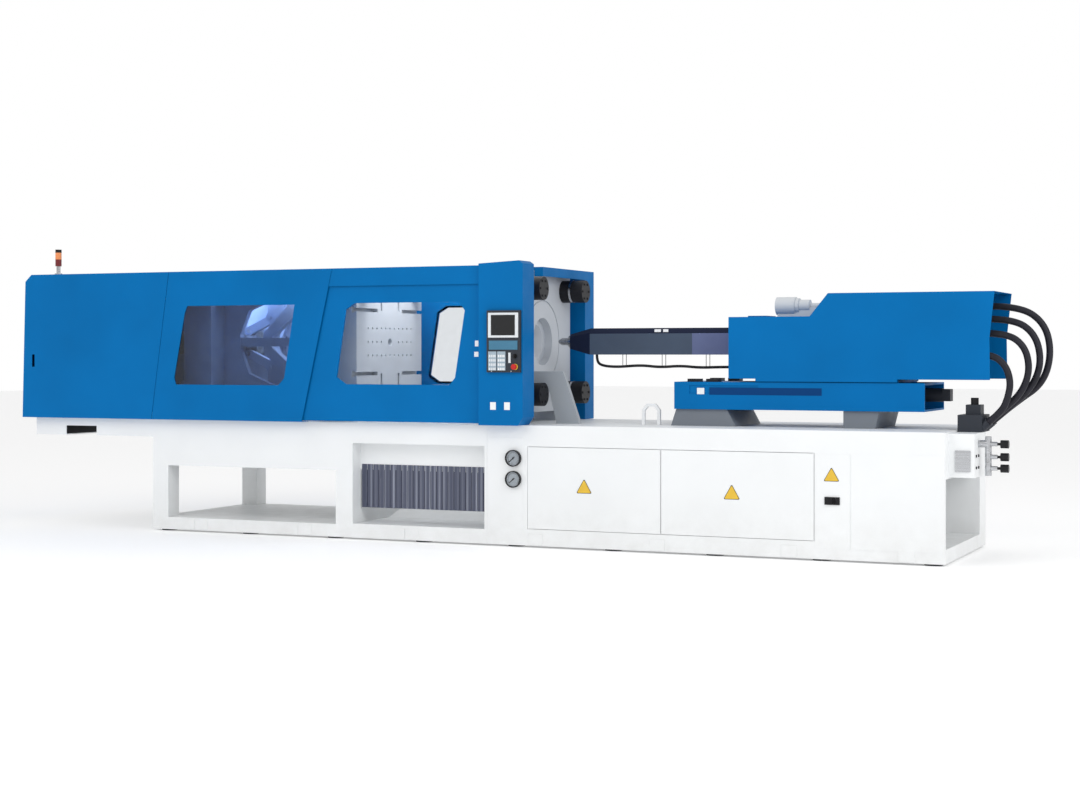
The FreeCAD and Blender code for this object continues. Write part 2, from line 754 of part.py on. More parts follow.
def middle_cover():
    w = cover_half_width
    foot = bed_top + flange_height
    outer = [(seam_a_x(bed_top), bed_top), (seam_b_x(bed_top), bed_top),
             (seam_b_x(cover_top), cover_top), (seam_a_x(cover_top), cover_top)]
    inner = [(seam_a_x(bed_top) - 200, foot), (seam_b_x(bed_top) + 200, foot),
             (seam_b_x(cover_top) + 200, cover_top - sheet),
             (seam_a_x(cover_top) - 200, cover_top - sheet)]
    skin = cover_shell(outer, inner, -w, w)
    return cut(skin, plate(first_window, -w - 1, w + 1))


def cover_windows():
    pane = plate(grown(first_window, 15), -cover_half_width + sheet,
                 -cover_half_width + sheet + pane_thickness)
    return both_sides(pane)


def gate_header():
    """Fixed header over a gate, with the rail that the gate hangs on."""
    w = cover_half_width
    low = seam_b_x(gate_track_bottom) + seam_gap
    high = seam_b_x(cover_top) + seam_gap
    front = plate([(low, gate_track_bottom), (gate_right, gate_track_bottom),
                   (gate_right, cover_top), (high, cover_top)], -w, -w + sheet)
    top = box(high, gate_right, -w, -735, cover_top - sheet, cover_top)
    web = box(rail_left, gate_right, -742, -735, 1930, cover_top - sheet)
    rail = box(rail_left, gate_right, -764, -735, 1930, 1950)
    return fused(front, top, web, rail)


def gate():
    """Sliding gate: frame, hanger hooked over the rail, and the pane behind the frame."""
    left = seam_b_x(bed_top) - 40
    right = gate_right - 2
    y0, y1 = gate_front, gate_front + gate_thickness
    frame = box(left, right, y0, y1, bed_top + 12, gate_top)
    frame = cut(frame, plate(second_window, y0 - 1, y1 + 1))
    strip = box(left, right, y0, y0 + 7, gate_top - 1, 1965)
    hook = box(left, right, y0, -748, 1950 + running_gap, 1965)
    pane = plate(grown(second_window, 15), y1, y1 + pane_thickness)
    return [fused(frame, strip, hook), pane]


def control_post():
    """Housing on the operator's side that carries the control panel."""
    outer = [(post_left, bed_top), (post_right - 40, bed_top), (post_right, bed_top + 60),
             (post_right, post_top - 12), (post_right - 30, post_top + 9), (post_left, post_top - 8)]
    inner = [(post_left + sheet, bed_top + flange_height),
             (post_right - 42, bed_top + flange_height), (post_right - sheet, bed_top + 62),
             (post_right - sheet, post_top - 15), (post_right - 31, post_top + 5),
             (post_left + sheet, post_top - 12)]
    skin = plate(outer, post_front, post_back)
    space = plate(inner, post_front + sheet, post_back - sheet)
    return cut(skin, space)


def far_guard():
    """Guard post on the far side with the canopy over the fixed platen."""
    column = box(gate_right, guard_right, guard_inner, cover_half_width, bed_top, canopy_top)
    column = cut(column, box(gate_right + sheet, guard_right - sheet, guard_inner + sheet,
                             cover_half_width - sheet, bed_top + flange_height,
                             canopy_top - sheet))
    roof = box(gate_right, guard_right, canopy_near, guard_inner, canopy_top - 10, canopy_top)
    lip = box(guard_right - sheet, guard_right, canopy_near, guard_inner, 1975, canopy_top)
    end = box(fixed_platen_face + fixed_platen_thickness + canopy_lead, guard_right, canopy_near,
              canopy_near + sheet, 1975, canopy_top)
    return fused(column, roof, lip, end)


def control_panel():
    """Panel box with its screen, keypads and the ledge under the screen."""
    front = post_front - panel_depth
    case = box(panel_left, panel_right, front, post_front, panel_bottom, panel_top)
    well = rod((panel_button_x, front - 1, button_z), (panel_button_x, front + well_depth, button_z),
               stem_radius + running_gap)
    case = cut(case, well)
    bezel = box(panel_left + 14, panel_right - 14, front - 6, front, 1512, 1690)
    screen = box(panel_left + 38, panel_right - 38, front - 8, front - 6, 1528, 1674)
    keypads = [box(panel_left + 14 + i * 72, panel_left + 78 + i * 72, front - 3, front, 1276, 1412)
               for i in range(2)]
    ledge = plate([(panel_left + 20, 1425), (panel_right - 20, 1425), (panel_right - 20, 1490),
                   (panel_left + 20, 1490)], front - 4, front)
    return [case, bezel, screen, ledge] + keypads


def emergency_stop():
    front = post_front - panel_depth
    stem = rod((panel_button_x, front + well_depth - button_travel - 1, button_z),
               (panel_button_x, front - 16, button_z), stem_radius)
    head = rod((panel_button_x, front - 15, button_z), (panel_button_x, front - button_reach, button_z), 20)
    return fused(stem, head)


def selector_knob():
    front = post_front - panel_depth
    base = rod((panel_button_x, front - running_gap, 1378), (panel_button_x, front - 9, 1378), 16)
    lever = box(panel_button_x - 5, panel_button_x + 5, front - 24, front - 8.9, 1362, 1394)
    return fused(base, lever)


def signal_tower():
    """Signal lamp on the roof: stub, two lenses and a cap."""
    x, y = -3640.0, -690.0
    base = rod((x, y, cover_top), (x, y, cover_top + 70), 16)
    foot = rod((x, y, cover_top), (x, y, cover_top + 12), 30)
    heights = [70, 125, 180, 205]
    parts = [fused(base, foot)]
    for low, high in zip(heights[:-1], heights[1:]):
        parts.append(rod((x, y, cover_top + low), (x, y, cover_top + high), 25))
    return parts


# ------------------------------------------------------------------ injection unit

def pedestals():
    front = plate([(front_pedestal[0] - 40, bed_top), (front_pedestal[1] + 55, bed_top),
                   (front_pedestal[1] - 10, pedestal_top), (front_pedestal[0], pedestal_top)],
                  -300, 300)
    rear = plate([(rear_pedestal[0], bed_top), (rear_pedestal[1] - 30, bed_top),
                  (rear_pedestal[1], pedestal_top), (rear_pedestal[0], pedestal_top)], -300, 300)
    return [front, rear]


def carriage_beam():
    """Fixed beam under the injection unit, its stop blocks and the carriage cylinder in it."""
    h = beam_half_width
    body = box(beam_start, beam_end, -h, h, pedestal_top, beam_top)
    body = cut(body, box(beam_start - 1, beam_end + 1, beam_wall - h, h - beam_wall,
                         pedestal_top + beam_wall, beam_top - beam_wall))
    slot = box(1960, 2495, -60, 60, beam_top - beam_wall - 1, beam_top + 1)
    groove = box(1650, 2160, -h - 1, 6 - h, 1110, 1172)
    body = cut(body, slot, groove, mirrored(groove))
    blocks = [box(x, x + 90, y - 40, y + 40, beam_top, beam_top + 22)
              for x in (1625, 1765) for y in (-250, 250)]
    cylinder = rod((2500, 0, 1110), (beam_end + 60, 0, 1110), 48)
    cylinder = cut(cylinder, rod((2499, 0, 1110), (beam_end + 40, 0, 1110), 30))
    cap = box(beam_end + 60, beam_end + 118, -45, 45, 1068, 1152)
    saddle = box(2560, 2660, -30, 30, pedestal_top + beam_wall, 1070)
    saddle = cut(saddle, rod((2500, 0, 1110), (2700, 0, 1110), 48.2))
    return [body, cylinder, cap, saddle] + blocks




def unit_housing():
    """Barrel housing with its slides, the two injection cylinders and the hose block."""
    low = beam_top + running_gap
    base = box(2143, 3150, -290, 290, low, 1250)
    body = box(2010, 2290, -290, 290, 1250, 1640)
    bore = rod((2009, 0, centre_z), (2291, 0, centre_z), barrel_radius + 0.2)
    throat = rod((2090, 0, centre_z), (2090, 0, 1641), 38)
    hopper_plate = cut(box(2020, 2160, -110, 110, 1640, 1668), rod((2090, 0, 1639), (2090, 0, 1669), 38))
    holes = [rod((2090 + 50 * i, 85 * j, 1645), (2090 + 50 * i, 85 * j, 1669), 5.5)
             for i in (-1, 1) for j in (-1, 1)]
    body = cut(fused(base, body, hopper_plate), bore, throat, *holes)
    bracket = box(2300, 2360, -26, 26, 1075, low)
    body = fused(body, bracket, rod((2330, 0, 1110), (2980, 0, 1110), 24))
    cylinders = []
    for y in (-cylinder_y, cylinder_y):
        tube = rod((2290, y, centre_z), (2750, y, centre_z), cylinder_radius)
        cylinders.append(cut(tube, rod((2310, y, centre_z), (2751, y, centre_z), 40)))
    ports = box(3560, 3640, -310, -80, 1250, 1500)
    shelf = box(3150, 3640, -310, -80, 1226, 1250)
    return [body, shelf, ports] + cylinders


def hood():
    """Painted cover of the injection unit, open at the back where the hoses come out."""
    w = hood_half_width
    outer = [(hood_front, hood_bottom), (skirt_left, hood_bottom), (skirt_left, beam_top + 5),
             (skirt_right, beam_top + 5), (skirt_right, hood_bottom), (hood_right, hood_bottom),
             (hood_right - 4, 1500), (hood_top_right, hood_high_top),
             (hood_slope_end, hood_high_top), (hood_slope_start, hood_low_top),
             (hood_front, hood_low_top)]
    skin = plate(outer, -w, w)
    inner = [(hood_front + 3, hood_bottom - 30), (hood_right + 200, hood_bottom - 30),
             (hood_right + 200, hood_high_top - 3), (hood_slope_end + 1, hood_high_top - 3),
             (hood_slope_start + 1, hood_low_top - 3), (hood_front + 3, hood_low_top - 3)]
    skin = cut(skin, plate(inner, 3 - w, w - 3))
    mouth = box(hood_front - 1, hood_front + 4, -cover_half_depth - 6, cover_half_depth + 6,
                centre_z - cover_half_height - 6, centre_z + cover_half_height + 6)
    hopper_hole = box(2000, 2180, -130, 130, 1600, 1700)
    cleats = [box(2160, 3140, 290 + 0.2, w - 3, 1206, 1245), box(2160, 3140, 3 - w, -290.2, 1206, 1245)]
    return fused(cut(skin, mouth, hopper_hole), *cleats)


def feed_motor():
    """Small geared motor that lies on the hood in front of its slope, on its foot."""
    y, z = 0.0, 1738.0
    motor = rod((2205, y, z), (2345, y, z), 64)
    ring = rod((2345, y, z), (2372, y, z), 55)
    gear = rod((2372, y, z), (2450, y, z), 44)
    shaft = rod((2450, y, z), (2520, y, z), 20)
    return [fused(motor, ring, gear, shaft, box(2215, 2500, -30, 30, hood_low_top, z - 10))]


def nozzle():
    tip = cone((nozzle_tip, 0, centre_z), (nozzle_tip + 28, 0, centre_z), 10, 27)
    body = rod((nozzle_tip + 28, 0, centre_z), (nozzle_tip + nozzle_length, 0, centre_z), 27)
    collar = rod((nozzle_tip + nozzle_length, 0, centre_z),
                 (nozzle_tip + nozzle_length + 14, 0, centre_z), 44)
    way = rod((nozzle_tip - 1, 0, centre_z), (nozzle_tip + nozzle_length + 15, 0, centre_z), 4)
    return cut(fused(tip, body, collar), way)


def barrel():
    """Barrel with its heater bands."""
    start = nozzle_tip + nozzle_length + 14
    head = rod((start, 0, centre_z), (start + 120, 0, centre_z), 44)
    tube = rod((start + 120, 0, centre_z), (barrel_end, 0, centre_z), barrel_radius)
    body = fused(head, tube)
    way = rod((start - 1, 0, centre_z), (start + 141, 0, centre_z), 4)
    bore = rod((start + 140, 0, centre_z), (barrel_end + 1, 0, centre_z), screw_radius + screw_gap)
    throat = rod((2090, 0, centre_z), (2090, 0, 1560), 34)
    bands = []
    for i in range(6):
        x = band_start + i * band_pitch
        band = rod((x, 0, centre_z), (x + band_length, 0, centre_z), barrel_radius + 18)
        inside = rod((x - 1, 0, centre_z), (x + band_length + 1, 0, centre_z), barrel_radius + 0.2)
        bands.append(cut(band, inside))
    return [cut(body, way, bore, throat)] + bands


def barrel_cover():
    """Sheet cover round the barrel, with its chamfered top and tapered front."""
    d, h = cover_half_depth, cover_half_height
    start = nozzle_tip + nozzle_length + taper_length
    top = centre_z + h
    low = centre_z - h
    outer = [(-d, low), (d, low), (d, top - 34), (d - 28, top), (28 - d, top), (-d, top - 34)]
    t = 3
    inner = [(t - d, low + t), (d - t, low + t), (d - t, top - 35), (d - 29, top - t),
             (29 - d, top - t), (t - d, top - 35)]
    tube = cut(bar(outer, start, hood_front + 40), bar(inner, start - 1, hood_front + 41))
    front = start - taper_length + 25
    near = [Vector(start, y, z) for y, z in outer]
    far = [Vector(front, y * 0.55, centre_z + (z - centre_z) * 0.55) for y, z in outer]
    faces = [Part.makePolygon(loop + loop[:1]) for loop in (near, far)]
    taper = Part.makeLoft(faces, True, True)
    near = [Vector(start, y, z) for y, z in inner]
    far = [Vector(front, y * 0.55, centre_z + (z - centre_z) * 0.55) for y, z in inner]
    faces = [Part.makePolygon(loop + loop[:1]) for loop in (near, far)]
    whole = fused(tube, cut(taper, Part.makeLoft(faces, True, True)))
    saddle = rod((start, 0, centre_z), (hood_front, 0, centre_z), barrel_radius + running_gap)
    stays = []
    for i in (0, 2, 4):
        x = band_start + band_length + 20 + i * band_pitch
        stays.append(cut(box(x, x + 12, -50, 50, low + t, centre_z - 30), saddle))
    return fused(whole, *stays)


def screw():
    start = nozzle_tip + nozzle_length + 14 + 150
    tip = cone((start, 0, centre_z), (start + 50, 0, centre_z), 8, screw_radius - 4)
    core = rod((start + 50, 0, centre_z), (2400, 0, centre_z), screw_radius - 7)
    shank = rod((barrel_end - 40, 0, centre_z), (2480, 0, centre_z), screw_radius)
    flights = [rod((x, 0, centre_z), (x + 9, 0, centre_z), screw_radius)
               for x in range(int(start) + 60, int(barrel_end) - 60, 60)]
    return fused(tip, core, shank, *flights)


def screw_drive():
    """Thrust housing with the screw's hydraulic motor, pushed by the two cylinder rods."""
    block = box(2480 + running_gap, 2700, -110, 110, centre_z - 105, centre_z + 105)
    arms = box(2600, 2700, -260, 260, centre_z - 90, centre_z + 90)
    gaps = [rod((2470, y, centre_z), (2701, y, centre_z), cylinder_radius + 3)
            for y in (-cylinder_y, cylinder_y)]
    motor = rod((2700, 0, centre_z), (2960, 0, centre_z), 105)
    cap = rod((2960, 0, centre_z), (3010, 0, centre_z), 70)
    arms = cut(arms, *gaps)
    yoke = box(2790, 2850, -cylinder_y - 60, cylinder_y + 60, centre_z - 40, centre_z + 40)
    rods = [rod((2330, y, centre_z), (2800, y, centre_z), 39) for y in (-cylinder_y, cylinder_y)]
    return fused(block, arms, motor, cap, yoke, *rods)


# ------------------------------------------------------------------ hydraulics and cooling

def manifold_block():
    """Hose block on the bed's end box, with its four hose fittings."""
    block = box(3560, 3722, -335, -55, bed_top - 10, 985)
    upper = box(3600, 3700, -260, -140, 985, 1052)
    knob = rod((3650, -200, 1052), (3650, -200, 1098), 26)
    fittings = []
    for y, z in zip(hose_rows_y, lower_ports):
        x1, y1, z1 = fitting_end(y, z)
        fittings.append(rod((3722 - 12, y, z - 10), (x1, y1, z1), 30))
    return [fused(block, upper, *fittings), knob]


def fitting_end(y, z, further=0):
    """Where a tilted hose fitting ends, or a point further out on its axis."""
    reach = fitting_length + further
    tilt = math.radians(fitting_tilt)
    return 3722 - 12 + reach * math.cos(tilt), y, z - 10 + reach * math.sin(tilt)


lower_ports = (915.0, 905.0, 915.0, 905.0)
fitting_length = 62.0
fitting_tilt = 40.0
upper_ports = (1720.0, 1632.0, 1535.0, 1395.0)


def water_manifold():
    """Cooling water distributor on the end box: plate, two rails and three valve bodies."""
    plate_piece = box(3600, 3700, end_box_front - 8, end_box_front, 620, 760)
    rail = rod((3725, -470, 800), (3790, -470, 800), 24)
    stack = rod((3790, -470, 590), (3790, -470, 850), 22)
    arms = [rod((3790, -470, z), (3850, -470, z), 15) for z in water_heights]
    return [plate_piece, fused(rail, stack, *arms)]


water_heights = (800.0, 715.0, 640.0)
knob_end = 3923.0


def water_knob(z):
    stem = rod((3850 + running_gap, -470, z), (3872, -470, z), 9)
    wheel = rod((3871, -470, z), (knob_end, -470, z), 27)
    return fused(stem, wheel)


def oil_filter():
    x, y = 3440.0, -560.0
    head = rod((x, y, end_recess_top - 70), (x, y, end_recess_top - 12), 72)
    hanger = box(x - 40, x + 40, y - 40, y + 40, end_recess_top - 13, bed_top - top_plate)
    bowl = rod((x, y, 320), (x, y, end_recess_top - 70), 62)
    return [fused(head, hanger), bowl]


def pump_motor():
    """Pump motor on its rails, with the hydraulic pump on its shaft end."""
    z = 330.0
    motor = rod((1350, 0, z), (1850, 0, z), 170)
    rails = [box(1390, 1810, y - 30, y + 30, motor_floor, z - 100) for y in (-90, 90)]
    bell = rod((1850, 0, z), (1960, 0, z), 120)
    pump = rod((1960, 0, z), (2180, 0, z), 95)
    return [fused(motor, *rails), bell, pump]


# ------------------------------------------------------------------ hoses

def tube_along(points, diameter, label):
    """A tube along straight runs joined by tangent arcs."""
    points = [Vector(*p) for p in points]
    edges = []
    radii = []
    at = points[0]
    for before, here, after in zip(points, points[1:], points[2:]):
        into = (here - before).normalize()
        out = (after - here).normalize()
        turn = math.acos(max(-1.0, min(1.0, into.dot(out))))
        shorter = min((here - before).Length, (after - here).Length)
        back = 0.45 * shorter
        radius = back / math.tan(turn / 2)
        start = here - into * back
        end = here + out * back
        inward = (out - into).normalize()
        centre = here + inward * math.hypot(back, radius)
        middle = centre - inward * radius
        edges.append(Part.LineSegment(at, start).toShape())
        edges.append(Part.Arc(start, middle, end).toShape())
        radii.append(round(radius / diameter, 1))
        at = end
    edges.append(Part.LineSegment(at, points[-1]).toShape())
    wire = Part.Wire(edges)
    section = Part.Wire(Part.makeCircle(diameter / 2, points[0], points[1] - points[0]))
    solid = wire.makePipeShell([section], True, False)
    expected = wire.Length * math.pi * diameter ** 2 / 4
    print(label, "length", round(wire.Length), "radii in diameters", radii,
          "volume share", round(solid.Volume / expected, 4))
    return solid


def hose_routes():
    """Hoses from the ports inside the hood's back to the fittings on the hose block."""
    y1, y2, y3, y4 = hose_rows_y
    u1, u2, u3, u4 = upper_ports
    b1, b2, b3, b4 = lower_ports
    start = 3700
    return [
        [(start, y1, u1), (3925, y1, u1), (4095, y1 + 5, 1605), (4140, y1 + 4, 1400),
         (4084, y1, 1195), fitting_end(y1, b1, 200), fitting_end(y1, b1)],
        [(start, y2, u2), (3900, y2, u2), (4045, y2 - 4, 1530), (4086, y2 - 3, 1345),
         (4030, y2, 1180), fitting_end(y2, b2, 170), fitting_end(y2, b2)],
        [(start, y3, u3), (3865, y3, u3), (3985, y3 + 4, 1450), (4020, y3 + 4, 1295),
         (3975, y3, 1150), fitting_end(y3, b3, 150), fitting_end(y3, b3)],
        [(3640, y4, u4), (3775, y4, u4), (3872, y4 - 3, 1325), (3908, y4 - 3, 1205),
         (3884, y4, 1090), fitting_end(y4, b4, 115), fitting_end(y4, b4)],
    ]


def heater_cable_route():
    low = centre_z - cover_half_height
    return [(830, -60, low), (830, -60, 1338), (872, -61, 1306), (1000, -62, 1297),
            (1180, -60, 1312), (1330, -58, 1296), (1490, -60, 1308), (1640, -62, 1294),
            (1800, -60, 1300), (hood_front, -60, 1300)]


def hose_ports():
    """Plate inside the hood's back that three of the hoses are screwed to."""
    return box(3640, 3700, -310, -60, 1500, 1760)


def build():
    os.makedirs("parts", exist_ok=True)
    save("clamp_bed", clamp_bed())
    save("injection_bed", *injection_bed())
    save("levelling_feet", *levelling_feet())
    save("strip_curtain", *strip_curtain())
    save("cabinet_door_left", cabinet_door(door_left, door_middle - 1,
                                            door_left + door_gap + hinge_inset))
    save("cabinet_door_right", cabinet_door(door_middle + 1, door_right,
                                             door_right - door_gap - hinge_inset))
    save("bed_panels", *bed_panels())
    save("main_switch_handle", main_switch_handle())
    save("pressure_gauges", *pressure_gauges())
    save("upper_gauge_needle", gauge_needle(gauge_heights[0]))
    save("lower_gauge_needle", gauge_needle(gauge_heights[1]))
    save("stationary_platen", stationary_platen())
    save("moving_platen", *moving_platen())
    save("ejector", ejector())
    save("tail_platen", *tail_platen())
    save("tie_bars", *tie_bars())
    save("tie_bar_nuts", *tie_bar_nuts())
    save("platen_braces", platen_braces())
    save("clamp_cylinder", clamp_cylinder())
    save("crosshead", crosshead())
    for name, side in (("upper", 1), ("lower", -1)):
        save(f"rear_link_{name}", rear_link_pair(side))
        save(f"front_link_{name}", front_link_pair(side))
        save(f"crosshead_link_{name}", crosshead_link_pair(side))
    save("rear_cover", rear_cover())
    save("middle_cover", middle_cover())
    save("cover_windows", *cover_windows())
    save("gate_headers", *both_sides(gate_header()))
    save("front_gate", *gate())
    save("rear_gate", *[mirrored(piece) for piece in gate()])
    save("control_post", control_post())
    save("far_guard", far_guard())
    save("control_panel", *control_panel())
    save("emergency_stop", emergency_stop())
    save("selector_knob", selector_knob())
    save("signal_tower", *signal_tower())
    save("pedestals", *pedestals())
    save("carriage_beam", *carriage_beam())
    save("unit_housing", *unit_housing(), hose_ports())
    save("hood", hood())
    save("feed_motor", *feed_motor())
    save("nozzle", nozzle())
    save("barrel", *barrel())
    save("barrel_cover", barrel_cover())
    save("screw", screw())
    save("screw_drive", screw_drive())
    save("manifold_block", *manifold_block())
    save("water_manifold", *water_manifold())
    for i, z in enumerate(water_heights):
        save(f"water_valve_knob_{i + 1}", water_knob(z))
    save("oil_filter", *oil_filter())
    save("pump_motor", *pump_motor())
    for i, route in enumerate(hose_routes()):
        save(f"hose_{i + 1}", tube_along(route, hose_diameter, f"hose {i + 1}"))
    save("heater_cable", tube_along(heater_cable_route(), cable_diameter, "heater cable"))


build()
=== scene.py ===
import json
import math

import bmesh
import bpy
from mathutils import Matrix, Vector

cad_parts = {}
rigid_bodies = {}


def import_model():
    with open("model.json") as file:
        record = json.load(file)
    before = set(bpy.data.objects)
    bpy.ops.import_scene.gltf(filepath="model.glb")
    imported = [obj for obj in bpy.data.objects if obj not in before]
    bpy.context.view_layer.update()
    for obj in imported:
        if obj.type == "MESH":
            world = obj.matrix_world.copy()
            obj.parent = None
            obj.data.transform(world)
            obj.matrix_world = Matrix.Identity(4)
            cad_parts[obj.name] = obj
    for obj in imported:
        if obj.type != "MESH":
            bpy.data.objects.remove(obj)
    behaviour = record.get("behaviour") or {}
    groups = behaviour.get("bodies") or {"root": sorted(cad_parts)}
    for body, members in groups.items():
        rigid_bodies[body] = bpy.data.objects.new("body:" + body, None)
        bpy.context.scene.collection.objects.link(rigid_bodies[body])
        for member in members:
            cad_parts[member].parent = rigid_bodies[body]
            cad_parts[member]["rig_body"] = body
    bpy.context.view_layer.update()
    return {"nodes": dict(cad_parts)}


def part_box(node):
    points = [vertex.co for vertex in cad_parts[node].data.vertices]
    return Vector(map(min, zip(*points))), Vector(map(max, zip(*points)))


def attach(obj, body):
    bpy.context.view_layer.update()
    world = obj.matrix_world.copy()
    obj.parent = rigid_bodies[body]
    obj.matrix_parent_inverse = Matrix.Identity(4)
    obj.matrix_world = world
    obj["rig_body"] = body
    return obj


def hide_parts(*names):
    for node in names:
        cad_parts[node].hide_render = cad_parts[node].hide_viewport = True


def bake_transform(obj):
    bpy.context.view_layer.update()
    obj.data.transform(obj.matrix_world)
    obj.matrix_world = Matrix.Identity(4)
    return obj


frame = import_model()
nodes = frame["nodes"]


# ---------------------------------------------------------------- camera
def place_camera():
    lens = bpy.data.cameras.new("machine camera")
    lens.lens = 61.67
    lens.sensor_width = 36.0
    lens.shift_y = -0.048
    lens.clip_end = 200.0
    camera = bpy.data.objects.new("machine camera", lens)
    camera.location = (6.055, -12.84, 1.40)
    camera.rotation_euler = (math.radians(90), 0, math.radians(24))
    bpy.context.scene.collection.objects.link(camera)
    bpy.context.scene.camera = camera


place_camera()


# ---------------------------------------------------------------- colour and node helpers
def tone(red, green, blue):
    """A colour given in display values, 0 to 255, as linear values."""
    out = []
    for v in (red, green, blue):
        c = v / 255
        out.append(c / 12.92 if c <= 0.04045 else ((c + 0.055) / 1.055) ** 2.4)
    return (*out, 1.0)


class Graph:
    """A small helper round one node tree."""

    def __init__(self, tree):
        self.tree = tree

    def add(self, kind, **settings):
        node = self.tree.nodes.new(kind)
        for key, value in settings.items():
            setattr(node, key, value)
        return node

    def join(self, start, end):
        self.tree.links.new(start, end)

    def put(self, socket, value):
        if isinstance(value, bpy.types.NodeSocket):
            self.join(value, socket)
        else:
            socket.default_value = value

    def maths(self, operation, a, b=0.0, clamp=False):
        node = self.add("ShaderNodeMath", operation=operation, use_clamp=clamp)
        self.put(node.inputs[0], a)
        self.put(node.inputs[1], b)
        return node.outputs[0]

    def spread(self, value, low, high, to_low, to_high):
        node = self.add("ShaderNodeMapRange")
        for socket, v in zip(node.inputs, (value, low, high, to_low, to_high)):
            self.put(socket, v)
        return node.outputs[0]

    def mixed(self, amount, a, b):
        node = self.add("ShaderNodeMix", data_type="RGBA")
        self.put(node.inputs[0], amount)
        self.put(node.inputs[6], a)
        self.put(node.inputs[7], b)
        return node.outputs[2]

    def place(self):
        return self.add("ShaderNodeTexCoord").outputs["Object"]

    def stretched(self, vector, scale):
        node = self.add("ShaderNodeMapping")
        self.put(node.inputs["Vector"], vector)
        self.put(node.inputs["Scale"], scale)
        return node.outputs[0]

    def noise(self, vector, scale, detail=2.0, rough=0.5):
        node = self.add("ShaderNodeTexNoise")
        self.put(node.inputs["Vector"], vector)
        self.put(node.inputs["Scale"], scale)
        self.put(node.inputs["Detail"], detail)
        self.put(node.inputs["Roughness"], rough)
        return node.outputs[0]


def new_group(name, takes, gives):
    tree = bpy.data.node_groups.new(name, "ShaderNodeTree")
    for label, kind, value in takes:
        socket = tree.interface.new_socket(label, in_out="INPUT", socket_type=kind)
        socket.default_value = value
    for label, kind in gives:
        tree.interface.new_socket(label, in_out="OUTPUT", socket_type=kind)
    g = Graph(tree)
    return tree, g, g.add("NodeGroupInput"), g.add("NodeGroupOutput")


COLOUR, FLOAT, VECTOR = "NodeSocketColor", "NodeSocketFloat", "NodeSocketVector"
SURFACE = [("Colour", COLOUR), ("Roughness", FLOAT), ("Height", FLOAT)]


def enamel_group():
    """Sprayed enamel: slow drift in tone, fine orange peel, and dust gathering low down."""
    tree, g, source, out = new_group("enamel finish", [
        ("Colour", COLOUR, (1, 1, 1, 1)), ("Dust", COLOUR, (0.4, 0.4, 0.4, 1)),
        ("Drift", FLOAT, 0.12), ("Roughness", FLOAT, 0.35)], SURFACE)
    at = g.place()
    slow = g.noise(at, 1.3, 3.0)
    fine = g.noise(at, 420.0, 1.0)
    smear = g.noise(at, 7.0, 5.0, 0.65)
    dark = g.add("ShaderNodeHueSaturation")
    g.put(dark.inputs["Color"], source.outputs["Colour"])
    g.put(dark.inputs["Value"], 0.78)
    amount = g.maths("MULTIPLY", g.spread(slow, 0.35, 0.7, 0.0, 4.0), source.outputs["Drift"], True)
    base = g.mixed(amount, source.outputs["Colour"], dark.outputs[0])
    height = g.add("ShaderNodeSeparateXYZ")
    g.join(at, height.inputs[0])
    low = g.spread(height.outputs[2], 0.02, 0.45, 0.30, 0.0)
    dusty = g.maths("MULTIPLY", low, g.spread(smear, 0.3, 0.7, 0.2, 1.0), True)
    g.join(g.mixed(dusty, base, source.outputs["Dust"]), out.inputs["Colour"])
    g.join(g.maths("ADD", source.outputs["Roughness"], g.spread(smear, 0.3, 0.7, -0.05, 0.09)),
           out.inputs["Roughness"])
    g.join(fine, out.inputs["Height"])
    return tree


def machined_group():
    """Machined or ground metal: fine lines along one way, with handling marks."""
    tree, g, source, out = new_group("machined metal", [
        ("Colour", COLOUR, (0.6, 0.6, 0.6, 1)), ("Lines", VECTOR, (3.0, 260.0, 260.0)),
        ("Stain", COLOUR, (0.2, 0.19, 0.18, 1)), ("Roughness", FLOAT, 0.3)], SURFACE)
    at = g.place()
    lines = g.noise(g.stretched(at, source.outputs["Lines"]), 1.0, 3.0)
    marks = g.noise(at, 9.0, 5.0, 0.7)
    amount = g.spread(marks, 0.45, 0.8, 0.0, 0.55)
    shade = g.mixed(g.spread(lines, 0.3, 0.7, 0.0, 0.3), source.outputs["Colour"], source.outputs["Stain"])
    g.join(g.mixed(amount, shade, source.outputs["Stain"]), out.inputs["Colour"])
    g.join(g.maths("ADD", source.outputs["Roughness"], g.spread(lines, 0.3, 0.7, -0.08, 0.12)),
           out.inputs["Roughness"])
    g.join(lines, out.inputs["Height"])
    return tree


def casting_group():
    """Painted casting: coarse sand texture and darker patches at random."""
    tree, g, source, out = new_group("painted casting", [
        ("Colour", COLOUR, (0.3, 0.3, 0.3, 1)), ("Hollows", COLOUR, (0.1, 0.1, 0.1, 1)),
        ("Roughness", FLOAT, 0.5)], SURFACE)
    at = g.place()
    sand = g.noise(at, 150.0, 4.0, 0.6)
    patches = g.noise(at, 5.0, 4.0)
    amount = g.spread(patches, 0.4, 0.75, 0.0, 0.5)
    g.join(g.mixed(amount, source.outputs["Colour"], source.outputs["Hollows"]), out.inputs["Colour"])
    g.join(g.maths("ADD", source.outputs["Roughness"], g.spread(sand, 0.3, 0.7, -0.08, 0.08)),
           out.inputs["Roughness"])
    g.join(sand, out.inputs["Height"])
    return tree


